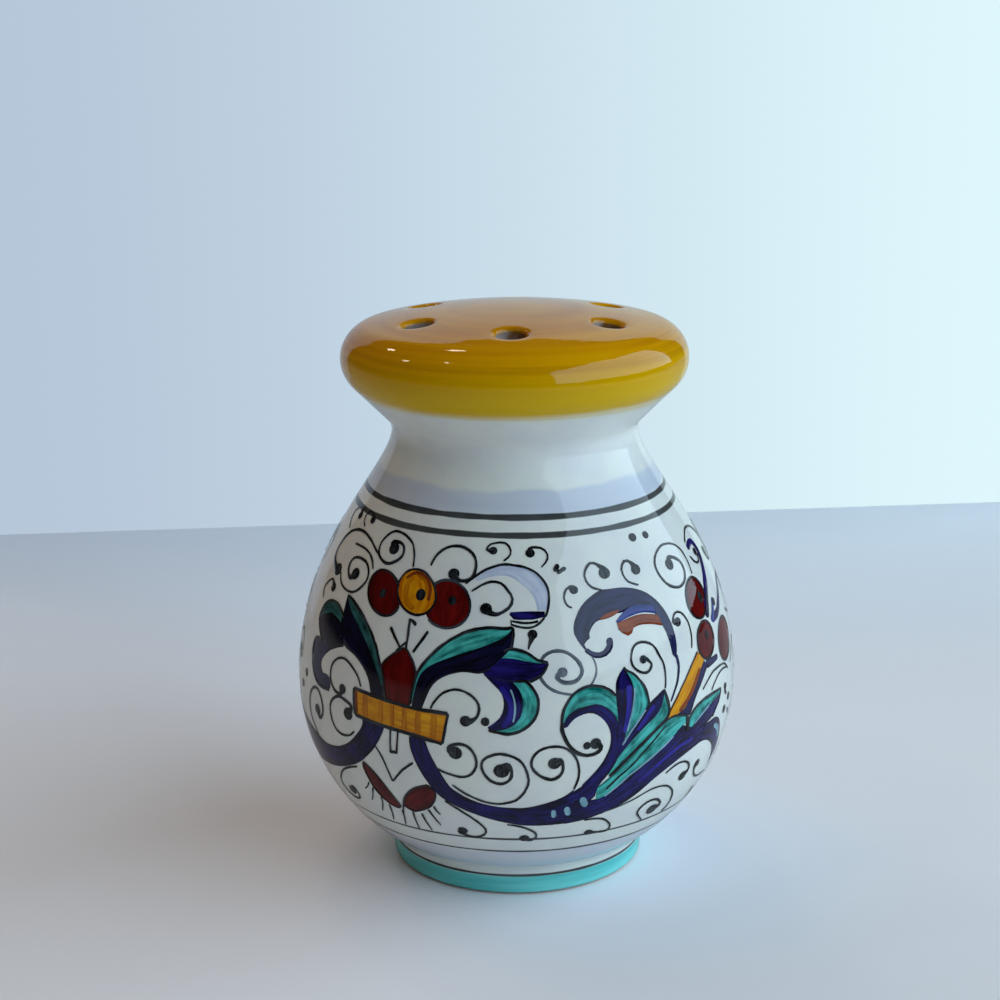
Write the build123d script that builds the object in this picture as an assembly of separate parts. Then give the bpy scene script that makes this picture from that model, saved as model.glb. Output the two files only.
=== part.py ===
from build123d import *
import os
from math import asin, cos, degrees, radians, sin, sqrt

# Grated cheese shaker: one hollow thrown and glazed earthenware body with a pierced, flared cap,
# filled from below through a hole in its base that a soft rubber stopper closes.
# Millimetres, +Z up. The origin is the middle of the foot, on the table.

# Outside of the body
total_height = 110.5
foot_radius = 25.0
foot_height = 5.2
belly_radius = 43.2
belly_height = 37.7
belly_fullness = 25.9  # how far the shoulder keeps on upright above the belly
neck_radius = 23.9
neck_fullness = 7.6  # how far the shoulder comes in upright below the neck
neck_fillet = 3.5
flare_angle = 45.0  # underside of the cap, from upright
cap_radius = 33.5
cap_edge_radius = 6.8
cap_dome_radius = 135.0
cove_radius = 3.0  # hollow between the foot and the belly
foot_edge_radius = 0.8

# Walls
wall = 4.0
base_thickness = 4.5

# Foot ring and filling hole
foot_ring_width = 4.5
recess_depth = 4.0
filler_radius = 14.0
filler_chamfer = 0.7

# Sprinkle holes in the cap, the first towards the front
hole_count = 6
hole_diameter = 5.8
hole_circle_radius = 20.4
hole_rounding = 1.0
front_angle = -90.0

# Stopper
flange_overlap = 2.6  # how far the flange covers the base round the hole
flange_thickness = 2.2
flange_chamfer = 0.5
dish_margin = 3.6  # rim left round the dished outside of the flange
dish_depth = 0.7
skirt_length = 11.0
skirt_wall = 1.8
skirt_clearance = 0.6
skirt_taper = 0.8
tip_chamfer = 0.6
rib_count = 3
rib_width = 1.4
rib_pitch = 2.8
rib_clearance = 0.15
tab_width = 9.0
tab_thickness = 1.2
tab_clearance = 0.8
tab_rounding = 2.5
grip_count = 2
grip_radius = 0.45
grip_pitch = 1.5
grip_margin = 1.2

# Values that follow from the sizes above
floor_height = recess_depth + base_thickness
recess_radius = foot_radius - foot_ring_width
edge_match = 0.01

# Lower belly: a circle that is upright at the widest point and meets the top of the foot
belly_reach = belly_radius - foot_radius
belly_rise = belly_height - foot_height
lower_arc_radius = (belly_reach**2 + belly_rise**2) / (2 * belly_reach)
lower_arc_centre = belly_radius - lower_arc_radius

# Cap: a rim circle that touches the dome from inside
rim_centre_radius = cap_radius - cap_edge_radius
dome_centre_height = total_height - cap_dome_radius
rim_reach = cap_dome_radius - cap_edge_radius
rim_centre_height = dome_centre_height + sqrt(rim_reach**2 - rim_centre_radius**2)
dome_angle = degrees(asin(rim_centre_radius / rim_reach))

# Neck: where the fillet starts whose flare line also touches the rim circle
flare_sin = sin(radians(flare_angle))
flare_cos = cos(radians(flare_angle))
flare_end_radius = rim_centre_radius + cap_edge_radius * flare_cos
flare_end_height = rim_centre_height - cap_edge_radius * flare_sin
flare_start_radius = neck_radius + neck_fillet * (1 - flare_cos)
flare_rise = (flare_end_radius - flare_start_radius) * flare_cos / flare_sin
neck_height = flare_end_height - flare_rise - neck_fillet * flare_sin


def turned_body(inset, start_height):
    """Solid of revolution a given depth inside the outer face, from start_height to the top."""
    belly = Vector(belly_radius - inset, belly_height)
    neck = Vector(neck_radius - inset, neck_height)
    flare_end = Vector(
        rim_centre_radius + (cap_edge_radius - inset) * flare_cos,
        rim_centre_height - (cap_edge_radius - inset) * flare_sin,
    )
    flare_way = (flare_sin, flare_cos)
    lower_turn = degrees(asin((belly_height - start_height) / (lower_arc_radius - inset)))

    lower = JernArc(belly, (0, -1), lower_arc_radius - inset, -lower_turn)
    shoulder = Bezier(belly, belly + (0, belly_fullness), neck - (0, neck_fullness), neck)
    throat = JernArc(neck, (0, 1), neck_fillet + inset, -flare_angle)
    flare = Line(throat @ 1, flare_end)
    rim = JernArc(flare_end, flare_way, cap_edge_radius - inset, 90 + flare_angle - dome_angle)
    dome = JernArc(rim @ 1, rim % 1, cap_dome_radius - inset, dome_angle)
    apex = (0, total_height - inset)
    middle = Line(apex, (0, start_height))
    floor = Line((0, start_height), lower @ 1)
    outline = Curve() + [lower, shoulder, throat, flare, rim, dome, middle, floor]
    return revolve(Plane.XZ * make_face(outline), Axis.Z)


def post(radius, bottom, top):
    """Upright cylinder about the axis between two heights."""
    return Pos(0, 0, bottom) * Cylinder(radius, top - bottom, align=(Align.CENTER, Align.CENTER, Align.MIN))


def rings(solid, radius, height):
    """Circular edges about the axis, of a given radius at a given height."""
    circles = solid.edges().filter_by(GeomType.CIRCLE)
    level = circles.filter_by(lambda edge: abs(edge.arc_center.Z - height) < edge_match)
    return level.filter_by(lambda edge: abs(edge.radius - radius) < edge_match)


def ceramic_body():
    """Hollow body with its foot ring, filling hole and pierced cap."""
    outside = turned_body(0, foot_height) + post(foot_radius, 0, foot_height)
    outside = fillet(rings(outside, foot_radius, foot_height), cove_radius)
    outside = fillet(rings(outside, foot_radius, 0), foot_edge_radius)

    cavity = turned_body(wall, floor_height)
    recess = post(recess_radius, 0, recess_depth)
    body = outside - cavity - recess - post(filler_radius, recess_depth, floor_height)
    for height in (recess_depth, floor_height):
        body = chamfer(rings(body, filler_radius, height), filler_chamfer)

    drill = post(hole_diameter / 2, rim_centre_height, total_height)
    places = PolarLocations(hole_circle_radius, hole_count, start_angle=front_angle)
    body -= [place * drill for place in places]
    return fillet(body.edges().filter_by(is_hole_mouth), hole_rounding)


def is_hole_mouth(edge):
    """True for the closed edge where a sprinkle hole opens on the outside of the cap."""
    box = edge.bounding_box()
    reach = Vector(box.center().X, box.center().Y).length
    in_hole = abs(box.size.X - hole_diameter) < edge_match and abs(reach - hole_circle_radius) < edge_match
    dome_height = dome_centre_height + sqrt(cap_dome_radius**2 - hole_circle_radius**2)
    return in_hole and box.center().Z > dome_height - wall / 2


def base_stopper():
    """Soft stopper: a dished flange under the base, a hollow ribbed skirt in the hole, a pull tab."""
    flange_radius = filler_radius + flange_overlap
    flange_bottom = recess_depth - flange_thickness
    skirt_radius = filler_radius - skirt_clearance
    skirt_top = recess_depth + skirt_length
    tip_radius = skirt_radius - skirt_taper
    dish_radius = flange_radius - dish_margin

    ribs = []
    for number in range(rib_count):
        middle = recess_depth + (number + 1) * rib_pitch
        for height in (middle - rib_width / 2, middle, middle + rib_width / 2):
            lean = skirt_taper * (height - recess_depth) / skirt_length
            radius = filler_radius - rib_clearance if height == middle else skirt_radius - lean
            ribs.append((radius, height))

    outline = Polyline(
        (0, flange_bottom + dish_depth),
        (dish_radius, flange_bottom + dish_depth),
        (dish_radius, flange_bottom),
        (flange_radius - flange_chamfer, flange_bottom),
        (flange_radius, flange_bottom + flange_chamfer),
        (flange_radius, recess_depth),
        (skirt_radius, recess_depth),
        *ribs,
        (tip_radius, skirt_top - tip_chamfer),
        (tip_radius - tip_chamfer, skirt_top),
        (tip_radius - skirt_wall, skirt_top),
        (skirt_radius - skirt_wall, recess_depth),
        (0, recess_depth),
        close=True,
    )
    plug = revolve(Plane.XZ * make_face(outline), Axis.Z)

    tab_end = recess_radius - tab_clearance
    tab_start = flange_radius - dish_margin / 2
    tab_length = tab_end - tab_start
    tab = Pos(tab_start, 0, flange_bottom) * Box(
        tab_length, tab_width, tab_thickness, align=(Align.MIN, Align.CENTER, Align.MIN)
    )
    tab_corners = tab.edges().filter_by(Axis.Z).group_by(Axis.X)[-1]
    tab = fillet(tab_corners, min(tab_rounding, tab_length - tab_thickness))
    grip = Rot(90, 0, 0) * Cylinder(grip_radius, tab_width - 2 * tab_rounding)
    grips = [
        Pos(tab_end - grip_margin - number * grip_pitch, 0, flange_bottom) * grip
        for number in range(grip_count)
    ]
    return plug + tab + grips


os.makedirs("parts", exist_ok=True)
export_step(ceramic_body(), "parts/ceramic_body.step")
export_step(base_stopper(), "parts/base_stopper.step")
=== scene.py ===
from bisect import bisect
from math import asin, cos, degrees, hypot, pi, radians, sin, sqrt
import bmesh
import bpy
from mathutils import Matrix, Vector, noise
from mathutils.geometry import interpolate_bezier


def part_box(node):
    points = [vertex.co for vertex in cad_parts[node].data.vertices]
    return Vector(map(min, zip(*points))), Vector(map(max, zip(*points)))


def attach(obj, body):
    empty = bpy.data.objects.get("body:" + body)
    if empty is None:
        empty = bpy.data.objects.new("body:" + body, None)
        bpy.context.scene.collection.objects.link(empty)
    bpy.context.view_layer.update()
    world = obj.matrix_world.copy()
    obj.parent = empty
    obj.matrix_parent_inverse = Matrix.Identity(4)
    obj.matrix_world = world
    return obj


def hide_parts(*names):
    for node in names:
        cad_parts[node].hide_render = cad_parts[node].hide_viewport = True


# Hand-painted earthenware cheese shaker: a glazed pot with its brush decoration, and the stopper in its base.
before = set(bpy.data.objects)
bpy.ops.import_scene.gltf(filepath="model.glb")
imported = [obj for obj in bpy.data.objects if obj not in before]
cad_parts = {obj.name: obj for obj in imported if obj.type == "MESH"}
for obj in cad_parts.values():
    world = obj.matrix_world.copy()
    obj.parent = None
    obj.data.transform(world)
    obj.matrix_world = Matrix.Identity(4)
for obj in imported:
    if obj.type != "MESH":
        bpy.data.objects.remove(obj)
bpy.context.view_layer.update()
print("frame loaded")

mm = 0.001  # meshes are drawn in millimetres and scaled to metres when they are finished
crease = 32.0  # edges that turn by more degrees than this stay sharp


def tone(red, green, blue):  # screen colour from 0 to 255, to the linear colour that a socket takes
    parts = [value / 255 for value in (red, green, blue)]
    return [value / 12.92 if value < 0.04 else ((value + 0.055) / 1.055) ** 2.4 for value in parts] + [1.0]


# Camera at the photograph's view
camera = {
    "distance": 389.0,
    "height": 174.5,
    "azimuth": 1.7,
    "yaw": 0.441,
    "pitch": 14.748,
    "roll": -0.441,
    "lens": 73.92,
    "sensor": 36,
    "nearest": 0.02,
}


def placeCamera():
    data = bpy.data.cameras.new("camera")
    data.lens = camera["lens"]
    data.sensor_width = camera["sensor"]
    data.clip_start = camera["nearest"]
    body = bpy.data.objects.new("camera", data)
    bpy.context.scene.collection.objects.link(body)
    side = radians(camera["azimuth"])
    reach = camera["distance"] * mm
    spot = Vector((reach * sin(side), -reach * cos(side), camera["height"] * mm))
    turn = Matrix.Rotation(radians(camera["azimuth"] + camera["yaw"]), 4, "Z")
    tip = Matrix.Rotation(radians(90 - camera["pitch"]), 4, "X")
    roll = Matrix.Rotation(radians(camera["roll"]), 4, "Z")
    body.matrix_world = Matrix.Translation(spot) @ turn @ tip @ roll
    bpy.context.scene.camera = body


placeCamera()
print("camera placed")


# Shader helpers
def feed(tree, socket, value):
    if isinstance(value, bpy.types.NodeSocket):
        tree.links.new(value, socket)
    else:
        socket.default_value = value


def addNode(tree, kind, sockets=None, **settings):
    node = tree.nodes.new("ShaderNode" + kind)
    for key, value in settings.items():
        setattr(node, key, value)
    for key, value in (sockets or {}).items():
        feed(tree, node.inputs[key], value)
    return node


def sumOf(tree, operation, *values):
    node = addNode(tree, "Math", operation=operation)
    for number, value in enumerate(values):
        feed(tree, node.inputs[number], value)
    return node.outputs[0]


def rangeOf(tree, value, low, high, toLow=0.0, toHigh=1.0):
    places = {"Value": value, "From Min": low, "From Max": high, "To Min": toLow, "To Max": toHigh}
    return addNode(tree, "MapRange", places, interpolation_type="SMOOTHSTEP").outputs[0]


def mixOf(tree, factor, first, second):
    # a colour mix has its two colours on sockets 6 and 7 and its result on output 2
    node = addNode(tree, "Mix", data_type="RGBA")
    feed(tree, node.inputs[0], factor)
    feed(tree, node.inputs[6], first)
    feed(tree, node.inputs[7], second)
    return node.outputs[2]


def noiseOf(tree, vector, scale, detail=2.0, roughness=0.5):
    places = {"Vector": vector, "Scale": scale, "Detail": detail, "Roughness": roughness}
    return addNode(tree, "TexNoise", places).outputs[0]


def stretched(tree, vector, x, y, z):
    return addNode(tree, "Mapping", {"Vector": vector, "Scale": (x, y, z)}).outputs[0]


def heightOf(tree, spot):
    # height on the pot in millimetres
    return sumOf(tree, "MULTIPLY", addNode(tree, "SeparateXYZ", {0: spot}).outputs[2], 1 / mm)


def newGroup(name, inputs, outputs):
    tree = bpy.data.node_groups.new(name, "ShaderNodeTree")
    for way, sockets in (("INPUT", inputs), ("OUTPUT", outputs)):
        for label, kind in sockets.items():
            tree.interface.new_socket(name=label, in_out=way, socket_type="NodeSocket" + kind)
    return tree, tree.nodes.new("NodeGroupInput").outputs, tree.nodes.new("NodeGroupOutput").inputs


def useGroup(tree, group, **sockets):
    node = tree.nodes.new("ShaderNodeGroup")
    node.node_tree = group
    for key, value in sockets.items():
        feed(tree, node.inputs[key], value)
    return node.outputs


def newMaterial(name):
    material = bpy.data.materials.new(name)
    material.use_nodes = True
    tree = material.node_tree
    return material, tree, tree.nodes["Principled BSDF"]


# Skin of the fired glaze: slow waves left by the wheel, fine orange peel and a few pinholes
glaze = {
    "gloss": 0.02,
    "clouding": 0.04,  # how much rougher the clouded places are
    "waves": 1.2,
    "peel": 0.10,
    "pits": 0.05,
    "relief": 0.0004,
    "refraction": 1.52,
    "mirror": 0.32,
}


def makeGlazeSkin():
    outputs = {"Roughness": "Float", "Height": "Float", "Tint": "Float"}
    tree, given, result = newGroup("glazeSkin", {"Gloss": "Float"}, outputs)
    spot = addNode(tree, "TexCoord").outputs["Object"]
    wheel = noiseOf(tree, stretched(tree, spot, 25, 25, 110), 1.0, 1.0)
    peel = noiseOf(tree, spot, 420.0, 2.0)
    pits = rangeOf(tree, noiseOf(tree, spot, 900.0, 0.0), 0.16, 0.24)
    waves = sumOf(tree, "MULTIPLY", wheel, glaze["waves"])
    height = sumOf(tree, "ADD", waves, sumOf(tree, "MULTIPLY", peel, glaze["peel"]))
    height = sumOf(tree, "ADD", height, sumOf(tree, "MULTIPLY", pits, glaze["pits"]))
    cloud = noiseOf(tree, spot, 130.0, 3.0, 0.6)
    rough = sumOf(tree, "ADD", given["Gloss"], rangeOf(tree, cloud, 0.35, 0.75, 0.0, glaze["clouding"]))
    feed(tree, result["Roughness"], rough)
    feed(tree, result["Height"], height)
    feed(tree, result["Tint"], cloud)
    return tree


# Brush mark: dense paint where the brush was full, thin paint in streaks along the stroke, pooled edges
def makeBrushMark():
    inputs = {"Dense": "Color", "Thin": "Color"}
    for label in ("Load", "Streaks", "Pooling", "Grain", "Mottle"):
        inputs[label] = "Float"
    tree, given, result = newGroup("brushMark", inputs, {"Color": "Color"})
    strokes = addNode(tree, "UVMap", uv_map="brush").outputs[0]
    edge = addNode(tree, "Attribute", attribute_name="brushEdge").outputs["Fac"]
    seed = addNode(tree, "Attribute", attribute_name="brushSeed").outputs["Fac"]
    along = addNode(tree, "SeparateXYZ", {0: strokes}).outputs
    place = addNode(tree, "CombineXYZ")
    feed(tree, place.inputs[0], sumOf(tree, "MULTIPLY", along[0], 1.6))
    fineness = sumOf(tree, "MULTIPLY", given["Grain"], 14.0)
    feed(tree, place.inputs[1], sumOf(tree, "MULTIPLY", along[1], fineness))
    feed(tree, place.inputs[2], seed)
    hairs = noiseOf(tree, place.outputs[0], 1.0, 2.0, 0.55)
    pools = noiseOf(tree, addNode(tree, "TexCoord").outputs["Object"], given["Mottle"], 2.0)
    streak = sumOf(tree, "MULTIPLY", sumOf(tree, "SUBTRACT", hairs, 0.5), given["Streaks"])
    cloud = sumOf(tree, "MULTIPLY", sumOf(tree, "SUBTRACT", pools, 0.5), given["Streaks"])
    rim = sumOf(tree, "MULTIPLY", rangeOf(tree, edge, 0.55, 1.0), given["Pooling"])
    load = sumOf(tree, "ADD", sumOf(tree, "ADD", given["Load"], rim), sumOf(tree, "MULTIPLY", streak, 2.0))
    load = addNode(tree, "Clamp", {"Value": sumOf(tree, "ADD", load, cloud)}).outputs[0]
    feed(tree, result["Color"], mixOf(tree, load, given["Thin"], given["Dense"]))
    return tree


# Painted ring: a mask round the pot at one level, with a hand's wobble
def makeRingLine():
    inputs = {label: "Float" for label in ("Level", "Width", "Wobble", "Softness")}
    tree, given, result = newGroup("ringLine", inputs, {"Mask": "Float"})
    spot = addNode(tree, "TexCoord").outputs["Object"]
    height = heightOf(tree, spot)
    drift = sumOf(tree, "SUBTRACT", noiseOf(tree, stretched(tree, spot, 30, 30, 5), 1.0, 1.0), 0.5)
    wobble = sumOf(tree, "MULTIPLY", drift, given["Wobble"])
    height = sumOf(tree, "ADD", height, sumOf(tree, "MULTIPLY", wobble, 3.0))
    reach = sumOf(tree, "ABSOLUTE", sumOf(tree, "SUBTRACT", height, given["Level"]))
    half = sumOf(tree, "MULTIPLY", given["Width"], 0.5)
    thick = noiseOf(tree, stretched(tree, spot, 90, 90, 20), 1.0, 2.0)
    half = sumOf(tree, "MULTIPLY", half, rangeOf(tree, thick, 0.25, 0.75, 0.75, 1.2))
    inner = sumOf(tree, "SUBTRACT", half, given["Softness"])
    outer = sumOf(tree, "ADD", half, given["Softness"])
    mask = sumOf(tree, "SUBTRACT", 1.0, rangeOf(tree, reach, inner, outer))
    feed(tree, result["Mask"], mask)
    return tree


glazeSkin = makeGlazeSkin()
brushMark = makeBrushMark()
ringLine = makeRingLine()


def glazeSurface(tree, shader, bump, ridges=0.0):
    skin = useGroup(tree, glazeSkin, Gloss=glaze["gloss"])
    feed(tree, shader.inputs["Roughness"], skin["Roughness"])
    height = sumOf(tree, "ADD", skin["Height"], ridges)
    relief = addNode(tree, "Bump", {"Height": height, "Strength": bump, "Distance": glaze["relief"]})
    feed(tree, shader.inputs["Normal"], relief.outputs[0])
    shader.inputs["IOR"].default_value = glaze["refraction"]
    shader.inputs["Specular IOR Level"].default_value = glaze["mirror"]
    return skin


# Glazed pot: turned outline in millimetres, as the CAD body has it
pot = {
    "height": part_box("ceramic_body")[1][2] / mm,
    "bellyRadius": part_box("ceramic_body")[1][0] / mm,
    "footRadius": 25.0,
    "footHeight": 5.2,
    "bellyHeight": 37.7,
    "bellyFullness": 25.9,
    "neckRadius": 23.9,
    "neckFullness": 7.6,
    "neckFillet": 3.5,
    "capRadius": 33.5,
    "capEdge": 6.8,
    "capDome": 135.0,
    "cove": 3.0,
    "footEdge": 0.8,
    "wall": 4.0,
    "floor": 8.5,
    "recessRadius": 20.5,
    "recessDepth": 4.0,
    "fillerRadius": 14.0,
    "fillerChamfer": 0.7,
    "holeCount": 6,
    "holeRadius": 2.9,
    "holeCircle": 20.4,
    "holeRounding": 1.0,
    "segments": 216,
    "centreDisc": 13.0,
    "weld": 0.004,
    "bump": 0.3,
    "lavenderBands": [(78.6, 4.0, "lavender"), (9.6, 6.2, "footLavender")],  # level, width and colour
    "rings": [(76.4, 1.0), (73.5, 1.0), (16.75, 0.5), (13.1, 0.5), (3.9, 0.6)],  # level and width
    "ringStrength": 0.94,
    "capFade": (93.6, 96.6),  # the amber comes in between these heights
    "paleFade": (93.8, 96.2),
    "lowFade": (96.5, 107.0),
    "footFade": (3.4, 3.7),  # and the turquoise goes out between these
    "bareFade": (0.05, 0.25),
    "clayFade": (7.9, 8.3),
    "holeStainShadeFade": (103.0, 105.0),
    "white": tone(226, 230, 222),
    "whiteShade": tone(218, 221, 220),
    "amber": tone(212, 150, 0),
    "amberDeep": tone(170, 100, 0),
    "amberLow": tone(210, 170, 0),
    "amberPale": tone(212, 196, 56),
    # in the holes, a real amber stain darkened as painted shade
    "holeBrownShaded": tone(120, 78, 30),
    "holeGreyShaded": tone(158, 150, 144),
    "lineBlack": tone(16, 18, 18),
    "lineGrey": tone(44, 48, 52),
    "lavender": tone(194, 202, 216),
    "footLavender": tone(206, 208, 220),
    "turquoise": tone(84, 190, 188),
    "turquoisePale": tone(118, 214, 210),
    "clay": tone(186, 150, 116),
}

# Derived places of the outline
flareTurn = 45.0
lowerReach = pot["bellyRadius"] - pot["footRadius"]
lowerRise = pot["bellyHeight"] - pot["footHeight"]
lowerArc = (lowerReach**2 + lowerRise**2) / (2 * lowerReach)
lowerCentre = pot["bellyRadius"] - lowerArc
rimCentre = pot["capRadius"] - pot["capEdge"]
domeCentre = pot["height"] - pot["capDome"]
rimReach = pot["capDome"] - pot["capEdge"]
rimHeight = domeCentre + sqrt(rimReach**2 - rimCentre**2)
domeTurn = degrees(asin(rimCentre / rimReach))
rimTurn = 90 + flareTurn - domeTurn
slant = sin(radians(flareTurn))
flareTop = (rimCentre + pot["capEdge"] * slant, rimHeight - pot["capEdge"] * slant)
flareFoot = pot["neckRadius"] + pot["neckFillet"] * (1 - slant)
neckHeight = flareTop[1] - (flareTop[0] - flareFoot) - pot["neckFillet"] * slant
coveRadius = pot["footRadius"] + pot["cove"]
coveReach = lowerArc + pot["cove"]
coveHeight = pot["bellyHeight"] - sqrt(coveReach**2 - (coveRadius - lowerCentre) ** 2)
coveTurn = degrees(asin((pot["bellyHeight"] - coveHeight) / coveReach))


def lineTo(shell, tip, spot, steps=1):
    start = tip.co.copy()
    end = Vector((spot[0], 0, spot[1]))
    for step in range(steps):
        tip = bmesh.ops.extrude_vert_indiv(shell, verts=[tip])["verts"][0]
        tip.co = start.lerp(end, (step + 1) / steps)
    return tip


def arcFrom(shell, tip, centre, turn, steps):
    middle = (centre[0], 0, centre[1])
    made = bmesh.ops.spin(shell, geom=[tip], cent=middle, axis=(0, -1, 0), angle=radians(turn), steps=steps)
    return made["geom_last"][0]


def shoulderFrom(shell, tip, inset, steps, upwards):
    belly = Vector((pot["bellyRadius"] - inset, 0, pot["bellyHeight"]))
    neck = Vector((pot["neckRadius"] - inset, 0, neckHeight))
    above = belly + Vector((0, 0, pot["bellyFullness"]))
    below = neck - Vector((0, 0, pot["neckFullness"]))
    handles = [belly, above, below, neck]
    spots = interpolate_bezier(*(handles if upwards else handles[::-1]), steps + 1)
    for spot in spots[1:]:
        tip = lineTo(shell, tip, (spot.x, spot.z))
    return tip


def spinRound(shell, geometry):
    bmesh.ops.spin(
        shell,
        geom=geometry,
        cent=(0, 0, 0),
        axis=(0, 0, 1),
        angle=2 * pi,
        steps=pot["segments"],
        use_merge=True,
    )


def domeHeight(reach, inset):
    return domeCentre + sqrt((pot["capDome"] - inset) ** 2 - reach**2)


# Wires of the outline, run by run. Each run ends with its number of steps.
def outsideWire(shell):
    reach = rimCentre * pot["capDome"] / rimReach
    tip = shell.verts.new((reach, 0, domeHeight(reach, 0)))
    tip = arcFrom(shell, tip, (rimCentre, rimHeight), -rimTurn, 22)
    tip = lineTo(shell, tip, (flareFoot, neckHeight + pot["neckFillet"] * slant), 6)
    tip = arcFrom(shell, tip, (pot["neckRadius"] + pot["neckFillet"], neckHeight), flareTurn, 5)
    tip = shoulderFrom(shell, tip, 0, 48, False)
    tip = arcFrom(shell, tip, (lowerCentre, pot["bellyHeight"]), -coveTurn, 34)
    tip = arcFrom(shell, tip, (coveRadius, coveHeight), coveTurn, 6)
    tip = lineTo(shell, tip, (pot["footRadius"], pot["footEdge"]), 3)
    arcFrom(shell, tip, (pot["footRadius"] - pot["footEdge"], pot["footEdge"]), -90, 6)


def insideWire(shell):
    wall = pot["wall"]
    chamfer = pot["fillerChamfer"]
    filler = pot["fillerRadius"]
    floor = pot["floor"]
    tip = shell.verts.new((pot["footRadius"] - pot["footEdge"], 0, 0))
    tip = lineTo(shell, tip, (pot["recessRadius"], 0), 2)
    tip = lineTo(shell, tip, (pot["recessRadius"], pot["recessDepth"]), 2)
    tip = lineTo(shell, tip, (filler + chamfer, pot["recessDepth"]), 3)
    tip = lineTo(shell, tip, (filler, pot["recessDepth"] + chamfer))
    tip = lineTo(shell, tip, (filler, floor - chamfer), 2)
    tip = lineTo(shell, tip, (filler + chamfer, floor))
    bowl = lowerArc - wall
    fall = asin((pot["bellyHeight"] - floor) / bowl)
    tip = lineTo(shell, tip, (lowerCentre + bowl * cos(fall), floor), 4)
    tip = arcFrom(shell, tip, (lowerCentre, pot["bellyHeight"]), degrees(fall), 14)
    tip = shoulderFrom(shell, tip, wall, 18, True)
    tip = arcFrom(shell, tip, (pot["neckRadius"] + pot["neckFillet"], neckHeight), -flareTurn, 4)
    edge = pot["capEdge"] - wall
    tip = lineTo(shell, tip, (rimCentre + edge * slant, rimHeight - edge * slant), 2)
    arcFrom(shell, tip, (rimCentre, rimHeight), rimTurn, 8)


def discWire(shell, inset):
    tip = shell.verts.new((pot["centreDisc"], 0, domeHeight(pot["centreDisc"], inset)))
    for share in (0.75, 0.5, 0.25, 0.0):
        reach = pot["centreDisc"] * share
        tip = lineTo(shell, tip, (reach, domeHeight(reach, inset)))


def sectorLoop(inset):
    # border of one sixth of the dome round a hole, from the rim's edge to the centre disc
    outer = rimCentre * (pot["capDome"] - inset) / rimReach
    inner = pot["centreDisc"]
    half = pi / pot["holeCount"]
    wide = pot["segments"] // pot["holeCount"]
    deep = 10
    spots = [(outer, half - 2 * half * step / wide) for step in range(wide)]
    spots += [(outer + (inner - outer) * step / deep, -half) for step in range(deep)]
    spots += [(inner, -half + 2 * half * step / wide) for step in range(wide)]
    spots += [(inner + (outer - inner) * step / deep, half) for step in range(deep)]
    return [Vector((reach * sin(turn), -reach * cos(turn), 0)) for reach, turn in spots]


def onDome(spot, inset):
    return Vector((spot.x, spot.y, domeHeight(hypot(spot.x, spot.y), inset)))


def holeRings():
    # rings of points from the top of the sector, through the rounded hole, to its underside
    middle = Vector((0, -pot["holeCircle"], 0))
    mouth = pot["holeRadius"] + pot["holeRounding"]
    wall = pot["wall"]
    outer = sectorLoop(0)
    inner = sectorLoop(wall)
    ways = [(spot - middle).normalized() for spot in outer]
    rings = []
    for share in (0.0, 0.2, 0.4, 0.6, 0.8, 1.0):
        rings.append([onDome(spot.lerp(middle + way * mouth, share), 0) for spot, way in zip(outer, ways)])
    for turn in (18, 36, 54, 72, 90):
        reach = mouth - pot["holeRounding"] * sin(radians(turn))
        drop = Vector((0, 0, pot["holeRounding"] * (1 - cos(radians(turn)))))
        rings.append([onDome(middle + way * mouth, 0) - drop + way * (reach - mouth) for way in ways])
    outsideCount = len(rings)
    bore = [middle + way * pot["holeRadius"] for way in ways]
    rings.append([onDome(spot, wall).lerp(top, 0.5) for spot, top in zip(bore, rings[-1])])
    rings.append([onDome(spot, wall) for spot in bore])
    for share in (0.3, 0.65, 1.0):
        rings.append([onDome(start.lerp(end, share), wall) for start, end in zip(bore, inner)])
    return rings, outsideCount


def addCap(shell, layer):
    rings, outsideCount = holeRings()
    loop = [shell.verts.new(spot) for spot in rings[0]]
    for vert in loop:
        vert[layer] = 1.0
    edges = [shell.edges.new((loop[number - 1], loop[number])) for number in range(len(loop))]
    made = list(loop)
    for number, ring in enumerate(rings[1:]):
        grown = bmesh.ops.extrude_edge_only(shell, edges=edges)["geom"]
        fresh = {item for item in grown if isinstance(item, bmesh.types.BMVert)}
        order = {vert: index for index, vert in enumerate(loop)}
        follow = {}
        for vert in fresh:
            others = [edge.other_vert(vert) for edge in vert.link_edges]
            index = next(order[other] for other in others if other in order)
            vert.co = ring[index]
            vert[layer] = 1.0 if number + 2 < outsideCount else 0.0
            follow[vert] = index
        edges = [item for item in grown if isinstance(item, bmesh.types.BMEdge)]
        edges = [edge for edge in edges if fresh.issuperset(edge.verts)]
        loop = sorted(fresh, key=follow.get)
        made += loop
    faces = {face for vert in made for face in vert.link_faces}
    lines = {edge for face in faces for edge in face.edges}
    copies = pot["holeCount"] - 1
    bmesh.ops.spin(
        shell,
        geom=made + list(lines) + list(faces),
        cent=(0, 0, 0),
        axis=(0, 0, 1),
        angle=2 * pi * copies / pot["holeCount"],
        steps=copies,
        use_duplicate=True,
    )


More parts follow.
